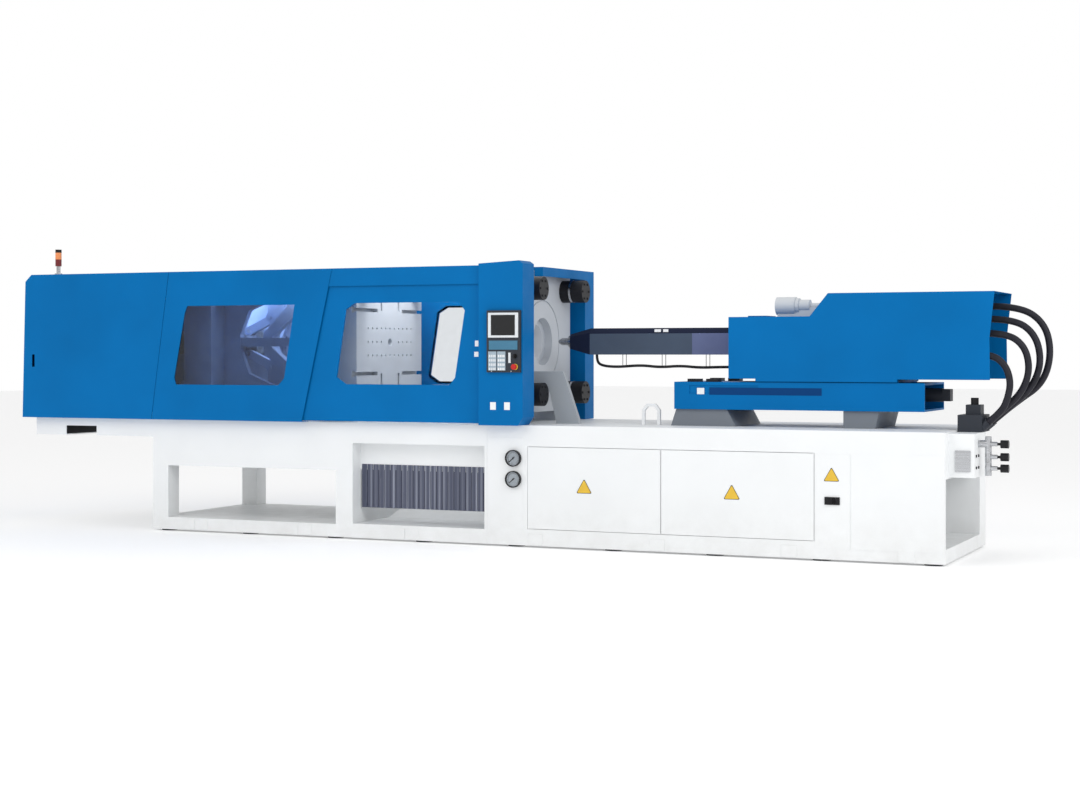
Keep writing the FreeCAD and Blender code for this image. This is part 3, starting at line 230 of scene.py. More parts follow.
def plastic_group():
    """Moulded plastic or rubber: a fine even grain with slight rubbing."""
    tree, g, source, out = new_group("moulded grain", [
        ("Colour", COLOUR, (0.05, 0.05, 0.05, 1)), ("Rubbed", COLOUR, (0.1, 0.1, 0.1, 1)),
        ("Grain", FLOAT, 600.0), ("Roughness", FLOAT, 0.5)], SURFACE)
    at = g.place()
    grain = g.noise(at, source.outputs["Grain"], 2.0)
    rub = g.noise(at, 16.0, 4.0, 0.65)
    g.join(g.mixed(g.spread(rub, 0.4, 0.8, 0.0, 0.5), source.outputs["Colour"], source.outputs["Rubbed"]),
           out.inputs["Colour"])
    g.join(g.maths("ADD", source.outputs["Roughness"], g.spread(rub, 0.3, 0.7, -0.07, 0.07)),
           out.inputs["Roughness"])
    g.join(grain, out.inputs["Height"])
    return tree


def strips_group():
    """Hanging strips side by side: a painted highlight across each strip, fading to the strip's own dark
    colour at its edges.
    """
    tree, g, source, out = new_group("hanging strips", [
        ("Colour", COLOUR, (0.1, 0.1, 0.1, 1)), ("Streak", COLOUR, (0.4, 0.4, 0.4, 1)),
        ("Strips per metre", FLOAT, 24.0), ("Roughness", FLOAT, 0.35)], SURFACE)
    at = g.place()
    parts = g.add("ShaderNodeSeparateXYZ")
    g.join(at, parts.inputs[0])
    across = g.maths("MULTIPLY", parts.outputs[0], source.outputs["Strips per metre"])
    phase = g.maths("FRACT", across)
    number = g.maths("FLOOR", across)
    pick = g.add("ShaderNodeTexWhiteNoise", noise_dimensions="1D")
    g.join(number, pick.inputs["W"])
    rise = g.spread(phase, 0.05, 0.3, 0.0, 1.0)
    fall = g.spread(phase, 0.3, 0.75, 1.0, 0.0)
    strength = g.spread(pick.outputs[0], 0.0, 1.0, 0.1, 0.9)
    # Painted highlight: a light band across each strip, stronger on some strips than others.
    painted_highlight = g.maths("MULTIPLY", g.maths("MULTIPLY", rise, fall), strength)
    waver = g.noise(g.stretched(at, (30.0, 1.0, 1.5)), 1.0, 3.0)
    amount = g.maths("MULTIPLY", painted_highlight, g.spread(waver, 0.3, 0.7, 0.5, 1.1), True)
    g.join(g.mixed(amount, source.outputs["Colour"], source.outputs["Streak"]), out.inputs["Colour"])
    g.join(g.maths("ADD", source.outputs["Roughness"], g.spread(waver, 0.3, 0.7, -0.08, 0.1)),
           out.inputs["Roughness"])
    g.join(rise, out.inputs["Height"])
    return tree


def dial_group():
    """Gauge face: a pale disc with dark marks round its edge."""
    tree, g, source, out = new_group("dial marks", [
        ("Colour", COLOUR, (0.7, 0.7, 0.7, 1)), ("Marks", COLOUR, (0.02, 0.02, 0.02, 1)),
        ("Centre", VECTOR, (0, 0, 0)), ("Radius", FLOAT, 0.05), ("Roughness", FLOAT, 0.4)], SURFACE)
    at = g.place()
    away = g.add("ShaderNodeVectorMath", operation="SUBTRACT")
    g.join(at, away.inputs[0])
    g.join(source.outputs["Centre"], away.inputs[1])
    parts = g.add("ShaderNodeSeparateXYZ")
    g.join(away.outputs[0], parts.inputs[0])
    x, z = parts.outputs[0], parts.outputs[2]
    radius = g.maths("SQRT", g.maths("ADD", g.maths("MULTIPLY", x, x), g.maths("MULTIPLY", z, z)))
    part = g.maths("DIVIDE", radius, source.outputs["Radius"])
    ring = g.maths("MULTIPLY", g.maths("GREATER_THAN", part, 0.72), g.maths("LESS_THAN", part, 0.9))
    turn = g.maths("MULTIPLY", g.maths("ARCTAN2", x, z), 40 / math.tau)
    tick = g.maths("LESS_THAN", g.maths("FRACT", g.maths("ADD", turn, 40.0)), 0.28)
    swept = g.maths("LESS_THAN", g.maths("ABSOLUTE", turn), 15.2)
    amount = g.maths("MULTIPLY", g.maths("MULTIPLY", ring, tick), swept)
    cloud = g.noise(at, 60.0, 2.0)
    paper = g.mixed(g.spread(cloud, 0.3, 0.7, 0.0, 0.25), source.outputs["Colour"], (0.45, 0.46, 0.48, 1))
    g.join(g.mixed(amount, paper, source.outputs["Marks"]), out.inputs["Colour"])
    g.join(g.maths("ADD", source.outputs["Roughness"], g.spread(cloud, 0.3, 0.7, -0.03, 0.05)),
           out.inputs["Roughness"])
    g.join(cloud, out.inputs["Height"])
    return tree


enamel, machined, casting = enamel_group(), machined_group(), casting_group()
moulded, strips, dial = plastic_group(), strips_group(), dial_group()


def finish(name, group, inputs, bump=0.05, distance=0.0006, **principled):
    """A material: one Principled shader, with its varying values from a shared group."""
    material = bpy.data.materials.new(name)
    material.use_nodes = True
    tree = material.node_tree
    shader = tree.nodes["Principled BSDF"]
    source = tree.nodes.new("ShaderNodeGroup")
    source.node_tree = group
    for label, value in inputs.items():
        source.inputs[label].default_value = value
    tree.links.new(source.outputs["Colour"], shader.inputs["Base Color"])
    tree.links.new(source.outputs["Roughness"], shader.inputs["Roughness"])
    relief = tree.nodes.new("ShaderNodeBump")
    relief.inputs["Strength"].default_value = bump
    relief.inputs["Distance"].default_value = distance
    tree.links.new(source.outputs["Height"], relief.inputs["Height"])
    tree.links.new(relief.outputs["Normal"], shader.inputs["Normal"])
    for label, value in principled.items():
        shader.inputs[label.replace("_", " ")].default_value = value
    return material


def paint(name, colour, rough=0.36, drift=0.12, dust=(150, 148, 142), shine=0.22):
    return finish(name, enamel, {"Colour": tone(*colour), "Dust": tone(*dust), "Drift": drift,
                                 "Roughness": rough}, Specular_IOR_Level=shine)


def metal(name, colour, rough=0.3, lines=(3.0, 260.0, 260.0), stain=(80, 76, 72)):
    return finish(name, machined, {"Colour": tone(*colour), "Lines": lines, "Stain": tone(*stain),
                                   "Roughness": rough}, bump=0.12, Metallic=1.0)


def cast(name, colour, hollows, rough=0.5):
    return finish(name, casting, {"Colour": tone(*colour), "Hollows": tone(*hollows),
                                  "Roughness": rough}, bump=0.3, Specular_IOR_Level=0.25)


def moulding(name, colour, rubbed, rough=0.5, grain=600.0, **more):
    return finish(name, moulded, {"Colour": tone(*colour), "Rubbed": tone(*rubbed), "Grain": grain,
                                  "Roughness": rough}, bump=0.08, **{"Specular_IOR_Level": 0.25, **more})


def clear_sheet(name, colour, rough, ior=1.3):
    """Tinted polycarbonate, with faint wiping marks in its roughness."""
    return finish(name, moulded, {"Colour": tone(*colour), "Rubbed": tone(*[c * 0.97 for c in colour]),
                                  "Grain": 40.0, "Roughness": rough}, bump=0.01,
                  Transmission_Weight=1.0, Metallic=0.0, IOR=ior)


cover_blue = paint("cover blue enamel", (0, 108, 175), 0.42, 0.16, shine=0.07)
# Darker blue used as painted shade in a recess.
recess_shade_blue = paint("recess painted shade blue", (10, 62, 118), 0.45, shine=0.07)
bed_white = paint("bed white enamel", (238, 240, 241), 0.4, 0.06, (196, 194, 190))
light_grey = paint("light grey enamel", (206, 210, 214), 0.42)
pedestal_grey = paint("pedestal grey enamel", (120, 126, 134), 0.45)
dark_grey = paint("dark grey enamel", (52, 56, 64), 0.45)
platen_grey = paint("platen grey enamel", (196, 201, 208), 0.42)
toggle_blue_grey = cast("toggle casting", (150, 168, 196), (98, 116, 150))
brace_grey = paint("brace light grey enamel", (176, 182, 188), 0.45)
black_iron = cast("black nut iron", (30, 31, 36), (14, 14, 17), 0.45)
foot_iron = cast("levelling foot iron", (70, 72, 76), (36, 37, 40), 0.55)
bright_steel = metal("bright ground steel", (206, 208, 212), 0.22)
bar_steel = metal("tie bar chrome steel", (212, 214, 218), 0.16, (2.0, 340.0, 340.0))
band_steel = metal("heater band steel", (168, 164, 158), 0.38)
hose_rubber = moulding("hydraulic hose rubber", (28, 28, 36), (48, 48, 58), 0.48, 500.0)
black_plastic = moulding("black moulded plastic", (20, 20, 23), (38, 38, 42), 0.42)
screen_black = moulding("screen glass black", (9, 10, 14), (14, 15, 20), 0.14, 60.0, Coat_Weight=0.6)
bezel_grey = moulding("screen bezel grey", (222, 226, 230), (206, 210, 214), 0.45)
keypad_grey = moulding("keypad grey", (160, 176, 188), (146, 162, 174), 0.5)
ledge_teal = moulding("panel ledge teal grey", (70, 122, 150), (60, 106, 134), 0.45)
stop_red = moulding("emergency stop red", (196, 26, 22), (168, 22, 20), 0.32, Coat_Weight=0.4)
lens_amber = moulding("signal lens amber", (240, 150, 92), (226, 130, 76), 0.25, 200.0, Coat_Weight=0.5)
lens_red = moulding("signal lens dark red", (120, 26, 30), (98, 20, 24), 0.25, 200.0, Coat_Weight=0.5)
tag_white = moulding("blank white tag", (236, 238, 240), (220, 222, 226), 0.4)
sign_yellow = moulding("blank yellow plate", (226, 186, 66), (208, 168, 54), 0.38)
sign_edge = moulding("yellow plate dark edge", (58, 52, 40), (44, 40, 32), 0.45)
window_tint = clear_sheet("window polycarbonate smoked", (176, 194, 220), 0.05, 1.42)
gate_clear = clear_sheet("gate polycarbonate clear", (251, 253, 255), 0.02, 1.15)
# The lighter colour is the painted highlight on each strip.
curtain = finish("strip curtain", strips, {"Colour": tone(70, 75, 95), "Streak": tone(160, 165, 180),
                                            "Strips per metre": 26.0, "Roughness": 0.34}, bump=0.4)


# ---------------------------------------------------------------- dressing the solid pieces
WELD_REACH = 0.00002


def set_material(obj, material):
    obj.data.materials.clear()
    obj.data.materials.append(material)


def soften(obj, width, angle=40):
    """Rounds the edges that are sharper than the angle, in degrees."""
    bevel = obj.modifiers.new("rounded edges", "BEVEL")
    bevel.width = width
    bevel.segments = 2
    bevel.limit_method = "ANGLE"
    bevel.angle_limit = math.radians(angle)
    return bevel


def rounded(obj):
    """Joins the surface up and rounds its sharp edges."""
    weld = obj.modifiers.new("joined", "WELD")
    weld.merge_threshold = WELD_REACH
    soften(obj, 0.002, 35).harden_normals = True


def dress(material, names):
    for name in names:
        set_material(nodes[name], material)


def solids_of(name):
    """The separate closed bodies of one piece, as lists of faces in a joined-up copy."""
    bm = bmesh.new()
    bm.from_mesh(nodes[name].data)
    bmesh.ops.remove_doubles(bm, verts=bm.verts, dist=WELD_REACH)
    seen, groups = set(), []
    for face in bm.faces:
        if face.index in seen:
            continue
        stack, group = [face], []
        seen.add(face.index)
        while stack:
            current = stack.pop()
            group.append(current)
            for edge in current.edges:
                for other in edge.link_faces:
                    if other.index not in seen:
                        seen.add(other.index)
                        stack.append(other)
        groups.append(group)
    return bm, groups


def show_instead(name, mesh, material):
    """Shows a mesh in place of all or part of a solid piece, moving with its body."""
    obj = bpy.data.objects.new(mesh.name, mesh)
    bpy.context.scene.collection.objects.link(obj)
    set_material(obj, material)
    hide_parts(name)
    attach(obj, nodes[name]["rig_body"])
    smooth(obj)


def split(name, choose):
    """Shows a piece as its separate solids, each with the finish that choose(low, high) names."""
    bm, groups = solids_of(name)
    for number, group in enumerate(groups):
        corners = {v: v.co.copy() for f in group for v in f.verts}
        order = list(corners)
        index = {v: i for i, v in enumerate(order)}
        mesh = bpy.data.meshes.new(f"{name}_part_{number + 1}")
        mesh.from_pydata([corners[v] for v in order], [], [[index[v] for v in f.verts] for f in group])
        low = Vector([min(c[i] for c in corners.values()) for i in range(3)])
        high = Vector([max(c[i] for c in corners.values()) for i in range(3)])
        show_instead(name, mesh, choose(low, high))
    bm.free()


def split_by_height(name, choose):
    """Shows a piece as bands of faces, each with the finish that choose(height) names."""
    source = nodes[name].data
    bands = {}
    for face in source.polygons:
        bands.setdefault(choose(face.center.z).name, []).append(list(face.vertices))
    for finish_name, faces in bands.items():
        used = sorted({v for face in faces for v in face})
        index = {v: i for i, v in enumerate(used)}
        mesh = bpy.data.meshes.new(f"{name}_{finish_name.replace(' ', '_')}")
        mesh.from_pydata([source.vertices[v].co.copy() for v in used], [],
                         [[index[v] for v in face] for face in faces])
        show_instead(name, mesh, bpy.data.materials[finish_name])


def outward(mesh):
    """Turns every face of a closed mesh outward."""
    bm = bmesh.new()
    bm.from_mesh(mesh)
    bmesh.ops.recalc_face_normals(bm, faces=bm.faces)
    bm.to_mesh(mesh)
    bm.free()


def smooth(obj, angle=32):
    """Smooth shading that stops at sharp edges."""
    mesh = obj.data
    mesh.shade_smooth()
    bm = bmesh.new()
    bm.from_mesh(mesh)
    for edge in bm.edges:
        if len(edge.link_faces) == 2 and edge.calc_face_angle(0.0) > math.radians(angle):
            edge.smooth = False
    bm.to_mesh(mesh)
    bm.free()


# ---------------------------------------------------------------- finishes of the solid pieces
dress(bed_white, ["clamp_bed", "injection_bed", "cabinet_door_left", "cabinet_door_right"])
dress(cover_blue, ["rear_cover", "middle_cover", "gate_headers", "control_post", "far_guard",
                   "hood"])
dress(foot_iron, ["levelling_feet"])
dress(platen_grey, ["stationary_platen", "moving_platen"])
dress(toggle_blue_grey, ["tail_platen", "rear_link_upper", "rear_link_lower", "front_link_upper",
                         "front_link_lower", "crosshead_link_upper", "crosshead_link_lower"])
dress(brace_grey, ["platen_braces"])
dress(bar_steel, ["tie_bars", "ejector", "crosshead"])
dress(dark_grey, ["clamp_cylinder", "pump_motor", "screw_drive"])
dress(bright_steel, ["nozzle", "screw"])
dress(pedestal_grey, ["pedestals"])
dress(black_plastic, ["main_switch_handle", "selector_knob", "upper_gauge_needle",
                      "lower_gauge_needle", "water_valve_knob_1", "water_valve_knob_2",
                      "water_valve_knob_3", "heater_cable"])
dress(stop_red, ["emergency_stop"])
dress(window_tint, ["cover_windows"])

for solid_name in ("clamp_bed", "injection_bed", "rear_cover", "middle_cover", "hood", "control_post",
                   "far_guard", "stationary_platen", "moving_platen", "tail_platen", "pedestals",
                   "cabinet_door_left", "cabinet_door_right", "gate_headers"):
    rounded(nodes[solid_name])


def curtain_finish(low, high):
    return bed_white if high.x - low.x > 0.5 else curtain


def control_panel_finish(low, high):
    if high.z - low.z > 0.4:
        return dark_grey if high.y - low.y > 0.02 else bezel_grey
    if low.y < -0.844:
        return screen_black
    if low.z > 1.5:
        return bezel_grey
    return ledge_teal if low.z > 1.42 else keypad_grey


def gate_finish(low, high):
    return gate_clear if high.y - low.y < 0.006 else cover_blue


def gauge_finish(low, high):
    return black_plastic if high.y - low.y > 0.01 else gauge_glass


LOWER_LENS_FROM, UPPER_LENS_FROM, TOWER_CAP_FROM = 2.106, 2.161, 2.216


def tower_finish(z):
    if z < LOWER_LENS_FROM:
        return bright_steel
    if z < UPPER_LENS_FROM:
        return lens_red
    return lens_amber if z < TOWER_CAP_FROM else black_plastic


def barrel_finish(low, high):
    return bright_steel if high.x - low.x > 1 else band_steel


def nut_finish(low, high):
    return black_iron


def bed_panel_finish(low, high):
    return black_plastic if high.z - low.z < 0.1 else bed_white


def beam_finish(low, high):
    if high.x - low.x > 1.5:
        return cover_blue
    return dark_grey if low.z < 1.19 and high.x > 3.39 else black_iron


def manifold_finish(low, high):
    return dark_grey if high.x - low.x > 0.1 else black_plastic


def water_finish(low, high):
    return bright_steel


def filter_finish(low, high):
    return light_grey if low.z > 0.4 else dark_grey


def housing_finish(low, high):
    if high.x - low.x > 1.0:
        return cover_blue
    return bar_steel if high.z < 1.56 and low.x < 2.3 else dark_grey


def motor_finish(low, high):
    return light_grey


gauge_glass = clear_sheet("gauge glass", (240, 244, 246), 0.03)
split("strip_curtain", curtain_finish)
split("control_panel", control_panel_finish)
split("front_gate", gate_finish)
split("rear_gate", gate_finish)
split("pressure_gauges", gauge_finish)
split_by_height("signal_tower", tower_finish)
split("barrel", barrel_finish)
split("tie_bar_nuts", nut_finish)
split("bed_panels", bed_panel_finish)
split("carriage_beam", beam_finish)
split("manifold_block", manifold_finish)
split("water_manifold", water_finish)
split("oil_filter", filter_finish)
split("unit_housing", housing_finish)
split("feed_motor", motor_finish)


# ---------------------------------------------------------------- added trim
def mesh_piece(name, points, faces, material, body):
    mesh = bpy.data.meshes.new(name)
    mesh.from_pydata(points, [], faces)
    obj = bpy.data.objects.new(name, mesh)
    bpy.context.scene.collection.objects.link(obj)
    set_material(obj, material)
    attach(obj, body)
    return obj


def block(name, low, high, material, body="machine", edge=0.002):
    x0, y0, z0 = low
    x1, y1, z1 = high
    points = [(x, y, z) for x in (x0, x1) for y in (y0, y1) for z in (z0, z1)]
    faces = [(0, 1, 3, 2), (4, 6, 7, 5), (0, 4, 5, 1), (2, 3, 7, 6), (0, 2, 6, 4), (1, 5, 7, 3)]
    soften(mesh_piece(name, points, faces, material, body), edge)


def prism(name, outline, y0, y1, material, body="machine", edge=0.001):
    """A flat piece across the machine, from an outline of (x, z) points."""
    count = len(outline)
    points = [(x, y0, z) for x, z in outline] + [(x, y1, z) for x, z in outline]
    faces = [tuple(range(count)), tuple(range(2 * count - 1, count - 1, -1))]
    faces += [(i, i + count, (i + 1) % count + count, (i + 1) % count) for i in range(count)]
    obj = mesh_piece(name, points, faces, material, body)
    outward(obj.data)
    soften(obj, edge)


def turned(name, centre, axis, profile, material, body="machine", sides=32):
    """A turned piece: profile is a list of (distance along the axis, radius)."""
    along = Vector(axis).normalized()
    side = along.cross(Vector((0, 0, 1)) if abs(along.z) < 0.9 else Vector((1, 0, 0))).normalized()
    up = along.cross(side)
    points, faces = [], []
    for distance, radius in profile:
        for k in range(sides):
            a = math.tau * k / sides
            points.append(Vector(centre) + along * distance
                          + (side * math.cos(a) + up * math.sin(a)) * radius)
    for ring in range(len(profile) - 1):
        for k in range(sides):
            n = (k + 1) % sides
            faces.append((ring * sides + k, ring * sides + n, (ring + 1) * sides + n,
                          (ring + 1) * sides + k))
    faces.append(tuple(range(sides - 1, -1, -1)))
    last = (len(profile) - 1) * sides
    faces.append(tuple(last + k for k in range(sides)))
    obj = mesh_piece(name, points, faces, material, body)
    outward(obj.data)
    smooth(obj)


def hex_bolt(name, centre, axis, across, height, material, body):
    """A hexagon head with a chamfered top."""
    r = across / math.sqrt(3)
    turned(name, centre, axis, [(0, r), (height * 0.8, r), (height, r * 0.86)], material, body, 6)


def warning_triangle(name, x, z, side, front, body):
    """Blank yellow triangular plate with rounded corners and a dark edge."""
    tall = side * math.sqrt(3) / 2

    def outline(size):
        points = []
        for corner in range(3):
            a = math.pi / 2 + corner * math.tau / 3
            cx, cz = x + math.cos(a) * size * 0.5, z + math.sin(a) * size * 0.5
            for step in range(5):
                b = a + math.radians(-60 + 30 * step)
                points.append((cx + math.cos(b) * size * 0.06, cz + math.sin(b) * size * 0.06))
        return points

    prism(name + "_edge", outline(tall * 1.04), front - 0.0012, front, sign_edge, body, 0.0003)
    prism(name + "_plate", outline(tall * 0.93), front - 0.0018, front - 0.0010, sign_yellow, body, 0.0003)


warning_triangle("triangle_left_door", 0.997, 0.438, 0.125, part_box("cabinet_door_left")[0][1],
                 "cabinet_door_left")
warning_triangle("triangle_right_door", 2.094, 0.431, 0.125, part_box("cabinet_door_right")[0][1],
                 "cabinet_door_right")
warning_triangle("triangle_end_panel", 2.795, 0.572, 0.115, -0.713, "machine")

for number, z in enumerate((0.642, 0.490)):
    turned(f"gauge_face_{number + 1}", (0.449, -0.7245, z), (0, -1, 0), [(0, 0.053), (0.001, 0.053)],
           finish(f"gauge face {number + 1}", dial,
                  {"Colour": tone(214, 216, 222), "Marks": tone(24, 24, 28),
                   "Centre": (0.449, 0.0, z), "Radius": 0.053, "Roughness": 0.4}, bump=0.01),
           "machine", 48)


def tag(name, x, z, wide, tall, front, body="machine"):
    """Blank white plate, standing a little proud of the face it is fixed to."""
    block(name, (x - wide / 2, front - 0.0015, z - tall / 2), (x + wide / 2, front, z + tall / 2),
          tag_white, body, 0.0005)


post_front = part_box("control_post")[0][1]
tag("gate_tag_upper", 0.187, 1.470, 0.040, 0.042, -0.775, "front_gate")
tag("gate_tag_lower", 0.185, 1.392, 0.046, 0.036, -0.775, "front_gate")
tag("post_tag_left", 0.331, 1.020, 0.045, 0.055, post_front)
tag("post_tag_right", 0.442, 1.020, 0.045, 0.055, post_front)
tag("barrel_tag_1", 1.330, 1.565, 0.050, 0.020, -0.106, "carriage")
tag("barrel_tag_2", 1.392, 1.565, 0.040, 0.020, -0.106, "carriage")

for number, x in enumerate((-2.36, -2.24, -1.42, -1.30, -0.50, -0.38, 0.62, 1.55, 2.50, 3.30)):
    block(f"skirt_pad_{number + 1}", (x - 0.055, -0.714, 0.020), (x + 0.055, -0.710, 0.100), bed_white)

for number, x in enumerate((0.330, 0.485)):
    turned(f"panel_screw_{number + 1}", (x, -0.837, 1.252 + 0.018), (0, -1, 0),
           [(0, 0.004), (0.002, 0.004), (0.003, 0.002)], bright_steel, "machine", 12)

key_pitch = 0.0145
for row, z in enumerate((1.2865, 1.3175, 1.3485, 1.3795)):
    for column in range(4):
        for pad, first_x, key_colour in (("key", 0.315, bezel_grey), ("key_right", 0.386, tag_white)):
            x = first_x + column * key_pitch
            block(f"{pad}_{row + 1}_{column + 1}", (x - 0.005, -0.8415, z - 0.009),
                  (x + 0.005, -0.840, z + 0.009), key_colour, "machine", 0.0006)
block("panel_slider", (0.463, -0.839, 1.330), (0.481, -0.837, 1.404), bezel_grey, "machine", 0.002)
turned("stop_collar", (0.516, -0.837, 1.302), (0, -1, 0), [(0, 0.022), (0.002, 0.022), (0.003, 0.019)],
       sign_yellow, "machine", 40)

nut_centres = [(y, z) for y in (-0.40, 0.40) for z in (1.097, 1.877)]
nut_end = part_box("tie_bar_nuts")[1][0]
for number, (y, z) in enumerate(nut_centres):
    turned(f"nut_bright_ring_{number + 1}", (nut_end - 0.115, y, z), (1, 0, 0),
           [(0, 0.0865), (0.016, 0.0865)], bright_steel, "machine", 48)
    for k in range(6):
        a = math.tau * k / 6
        hex_bolt(f"nut_bolt_{number + 1}_{k + 1}",
                 (nut_end - 0.0005, y + 0.062 * math.cos(a), z + 0.062 * math.sin(a)), (1, 0, 0),
                 0.016, 0.007, black_iron, "machine")


for number, x in enumerate((1.05, 1.36, 1.70)):
    block(f"cable_clip_{number + 1}", (x - 0.010, -0.0745, 1.300), (x - 0.006, -0.0705, 1.389),
          black_plastic, "carriage", 0.0008)
    block(f"cable_clip_{number + 1}b", (x + 0.018, -0.0745, 1.300), (x + 0.022, -0.0705, 1.389),
          black_plastic, "carriage", 0.0008)

beam_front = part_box("carriage_beam")[0][1]
# A flat darker plate on the beam: painted shade where the rail recess is.
block("beam_rail_recess", (1.80, beam_front - 0.0008, 1.104), (2.62, beam_front, 1.156), recess_shade_blue)
tag("beam_tag", 1.735, 1.130, 0.055, 0.045, beam_front)

# Black sheets inside the fork slot in the bed's left arm: painted shade.
slot_left, slot_right, shade_sheet = -3.545, -3.245, 0.003
for side, x in (("left", slot_left), ("right", slot_right - shade_sheet)):
    block(f"fork_slot_{side}_liner", (x, -0.705, 0.748), (x + shade_sheet, 0.705, 0.815), black_plastic)
block("fork_slot_top_liner", (slot_left + shade_sheet, -0.705, 0.8125), (slot_right - shade_sheet, 0.705, 0.8155),
      black_plastic)

for number, (y, z) in enumerate(((-0.555, 0.722), (-0.475, 0.722), (-0.555, 0.645), (-0.475, 0.645))):
    turned(f"end_plate_stud_{number + 1}", (3.7253, y, z), (1, 0, 0), [(0, 0.010), (0.006, 0.009)],
           black_iron, "machine", 20)


# ---------------------------------------------------------------- hoses and cable
def tube(name, route, diameter, material, declare):
    """A hose: a mesh tube along a smooth line through the given route points."""
    curve = bpy.data.curves.new(name + "_line", "CURVE")
    curve.dimensions = "3D"
    curve.resolution_u = 24
    line = curve.splines.new("NURBS")
    line.points.add(len(route) - 1)
    for point, place in zip(line.points, route):
        point.co = (*place, 1.0)
    line.order_u = 3
    line.use_endpoint_u = True
    holder = bpy.data.objects.new(name + "_line", curve)
    bpy.context.scene.collection.objects.link(holder)
    bpy.context.view_layer.update()
    read = bpy.data.meshes.new_from_object(holder)
    path = [v.co.copy() for v in read.vertices]
    bpy.data.objects.remove(holder)
    sides = 20
    points, faces = [], []
    up = Vector((0, 1, 0))
    for k, place in enumerate(path):
        before, after = path[max(k - 1, 0)], path[min(k + 1, len(path) - 1)]
        way = (after - before).normalized()
        side = way.cross(up).normalized()
        other = side.cross(way)
        for s in range(sides):
            a = math.tau * s / sides
            points.append(place + (side * math.cos(a) + other * math.sin(a)) * diameter / 2)
    for k in range(len(path) - 1):
        for s in range(sides):
            n = (s + 1) % sides
            faces.append((k * sides + s, k * sides + n, (k + 1) * sides + n, (k + 1) * sides + s))
    faces.append(tuple(range(sides - 1, -1, -1)))
    faces.append(tuple((len(path) - 1) * sides + s for s in range(sides)))
    mesh = bpy.data.meshes.new(name)
    mesh.from_pydata(points, [], faces)
    obj = bpy.data.objects.new(name, mesh)
    bpy.context.scene.collection.objects.link(obj)
    set_material(obj, material)
    outward(mesh)
    smooth(obj, 50)
    declare(obj, path)


def fitting_point(y, z, further=0.0):
    """Where a tilted hose fitting ends, or a point further out on its axis."""
    reach = 0.062 + further
    tilt = math.radians(40)
    return 3.710 + reach * math.cos(tilt), y, z - 0.010 + reach * math.sin(tilt)


HOSE_DIAMETER = 0.046
CABLE_DIAMETER = 0.020


def hose_shown(number, route):
    def declare(obj, path):
        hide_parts(f"hose_{number}")
        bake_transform(obj)

    tube(f"hydraulic_hose_{number}", route, HOSE_DIAMETER, hose_rubber, declare)


hose_shown(1, [(3.700, -0.090, 1.720), (3.925, -0.090, 1.720), (4.095, -0.085, 1.605),
               (4.140, -0.086, 1.400), (4.084, -0.090, 1.195), fitting_point(-0.090, 0.915, 0.200),
               fitting_point(-0.090, 0.915)])
hose_shown(2, [(3.700, -0.160, 1.632), (3.900, -0.160, 1.632), (4.045, -0.164, 1.530),
               (4.086, -0.163, 1.345), (4.030, -0.160, 1.180), fitting_point(-0.160, 0.905, 0.170),
               fitting_point(-0.160, 0.905)])
hose_shown(3, [(3.700, -0.230, 1.535), (3.865, -0.230, 1.535), (3.985, -0.226, 1.450),
               (4.020, -0.226, 1.295), (3.975, -0.230, 1.150), fitting_point(-0.230, 0.915, 0.150),
               fitting_point(-0.230, 0.915)])
hose_shown(4, [(3.640, -0.300, 1.395), (3.775, -0.300, 1.395), (3.872, -0.303, 1.325),
               (3.908, -0.303, 1.205), (3.884, -0.300, 1.090), fitting_point(-0.300, 0.905, 0.115),
               fitting_point(-0.300, 0.905)])


def cable_declared(obj, path):
    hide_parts("heater_cable")
    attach(obj, "carriage")


tube("heater_cable_shown",
     [(0.830, -0.060, 1.389), (0.830, -0.060, 1.338), (0.872, -0.061, 1.306), (1.000, -0.062, 1.297),
      (1.180, -0.060, 1.312), (1.330, -0.058, 1.296), (1.490, -0.060, 1.308), (1.640, -0.062, 1.294),
      (1.800, -0.060, 1.300), (1.945, -0.060, 1.300)], CABLE_DIAMETER, black_plastic, cable_declared)


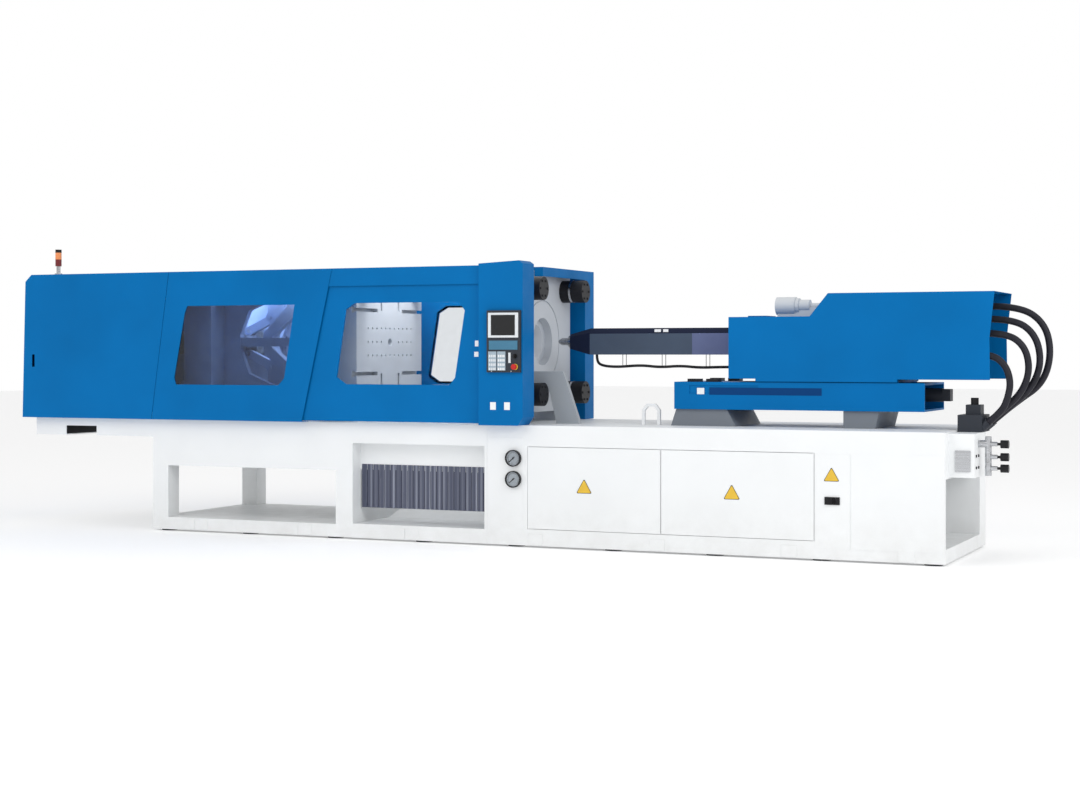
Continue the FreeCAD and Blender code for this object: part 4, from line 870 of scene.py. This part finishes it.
# ---------------------------------------------------------------- barrel cover
def barrel_cover_finish():
    """Slate sides with a darker top band and nose, both painted shade, and a paler tail."""
    tree, g, source, out = new_group("cover bands", [
        ("Colour", COLOUR, (0.1, 0.1, 0.2, 1)), ("Band", COLOUR, (0.02, 0.02, 0.05, 1)),
        ("Tail", COLOUR, (0.1, 0.12, 0.25, 1)), ("Tail From X", FLOAT, 1.6),
        ("Band From Z", FLOAT, 1.54), ("Nose To X", FLOAT, 0.79), ("Roughness", FLOAT, 0.4)], SURFACE)
    at = g.place()
    parts = g.add("ShaderNodeSeparateXYZ")
    g.join(at, parts.inputs[0])
    # Painted shade: the band along the top and the tapered nose are darkened in the colour.
    top = g.maths("GREATER_THAN", parts.outputs[2], source.outputs["Band From Z"])
    nose = g.maths("LESS_THAN", parts.outputs[0], source.outputs["Nose To X"])
    amount = g.maths("MAXIMUM", top, nose)
    drift = g.noise(at, 3.0, 3.0)
    shade = g.add("ShaderNodeHueSaturation")
    behind = g.maths("GREATER_THAN", parts.outputs[0], source.outputs["Tail From X"])
    g.put(shade.inputs["Color"], g.mixed(behind, source.outputs["Colour"], source.outputs["Tail"]))
    g.put(shade.inputs["Value"], g.spread(drift, 0.3, 0.7, 0.9, 1.12))
    g.join(g.mixed(amount, shade.outputs[0], source.outputs["Band"]), out.inputs["Colour"])
    g.join(g.maths("ADD", source.outputs["Roughness"], g.spread(drift, 0.3, 0.7, -0.04, 0.06)),
           out.inputs["Roughness"])
    g.join(g.noise(at, 420.0, 1.0), out.inputs["Height"])
    # The darker band and nose colour is painted shade.
    return finish("barrel cover enamel with painted shade", tree,
                  {"Colour": tone(70, 82, 100), "Band": tone(22, 30, 54), "Band From Z": 1.545,
                   "Tail": tone(96, 105, 140), "Tail From X": 1.595,
                   "Nose To X": 0.79, "Roughness": 0.42}, Specular_IOR_Level=0.12)


dress(barrel_cover_finish(), ["barrel_cover"])


# ---------------------------------------------------------------- floor, light and backdrop
def studio():
    floor_mesh = bpy.data.meshes.new("studio floor")
    floor_mesh.from_pydata([(-40, -40, 0), (40, -40, 0), (40, 60, 0), (-40, 60, 0)], [], [(0, 1, 2, 3)])
    floor = bpy.data.objects.new("studio floor", floor_mesh)
    bpy.context.scene.collection.objects.link(floor)
    set_material(floor, finish("pale studio floor", moulded, {"Colour": tone(250, 250, 250),
                 "Rubbed": tone(247, 247, 248), "Grain": 30.0, "Roughness": 0.8}, bump=0.01,
                 Emission_Color=(1.0, 1.0, 1.0, 1.0), Emission_Strength=0.14))
    world = bpy.data.worlds.new("studio white")
    world.use_nodes = True
    background = world.node_tree.nodes["Background"]
    background.inputs[0].default_value = (1.0, 1.0, 1.0, 1.0)
    seen = world.node_tree.nodes.new("ShaderNodeLightPath")
    level = world.node_tree.nodes.new("ShaderNodeMapRange")
    level.inputs[3].default_value = 0.80
    level.inputs[4].default_value = 1.0
    world.node_tree.links.new(seen.outputs["Is Camera Ray"], level.inputs[0])
    world.node_tree.links.new(level.outputs[0], background.inputs[1])
    bpy.context.scene.world = world
    for name, place, aim, size, power in (
            ("large front light", (-2.5, -9.0, 6.5), (0, 0, 1.0), 6.0, 190.0),
            ("right hand light", (9.0, -4.0, 5.0), (2.0, 0, 1.0), 4.0, 190.0),
            ("light over the toggle", (-1.9, 0.0, 1.99), (-1.9, 0, 1.0), 0.9, 32.0),
            ("light over the mould space", (-0.45, 0.0, 2.6), (-0.45, 0, 1.2), 0.8, 22.0)):
        light = bpy.data.lights.new(name, "AREA")
        light.shape = "SQUARE"
        light.size = size
        light.energy = power
        lamp = bpy.data.objects.new(name, light)
        lamp.location = place
        lamp.rotation_euler = (Vector(aim) - Vector(place)).to_track_quat("-Z", "Y").to_euler()
        bpy.context.scene.collection.objects.link(lamp)
    bpy.context.scene.view_settings.view_transform = "Standard"


studio()
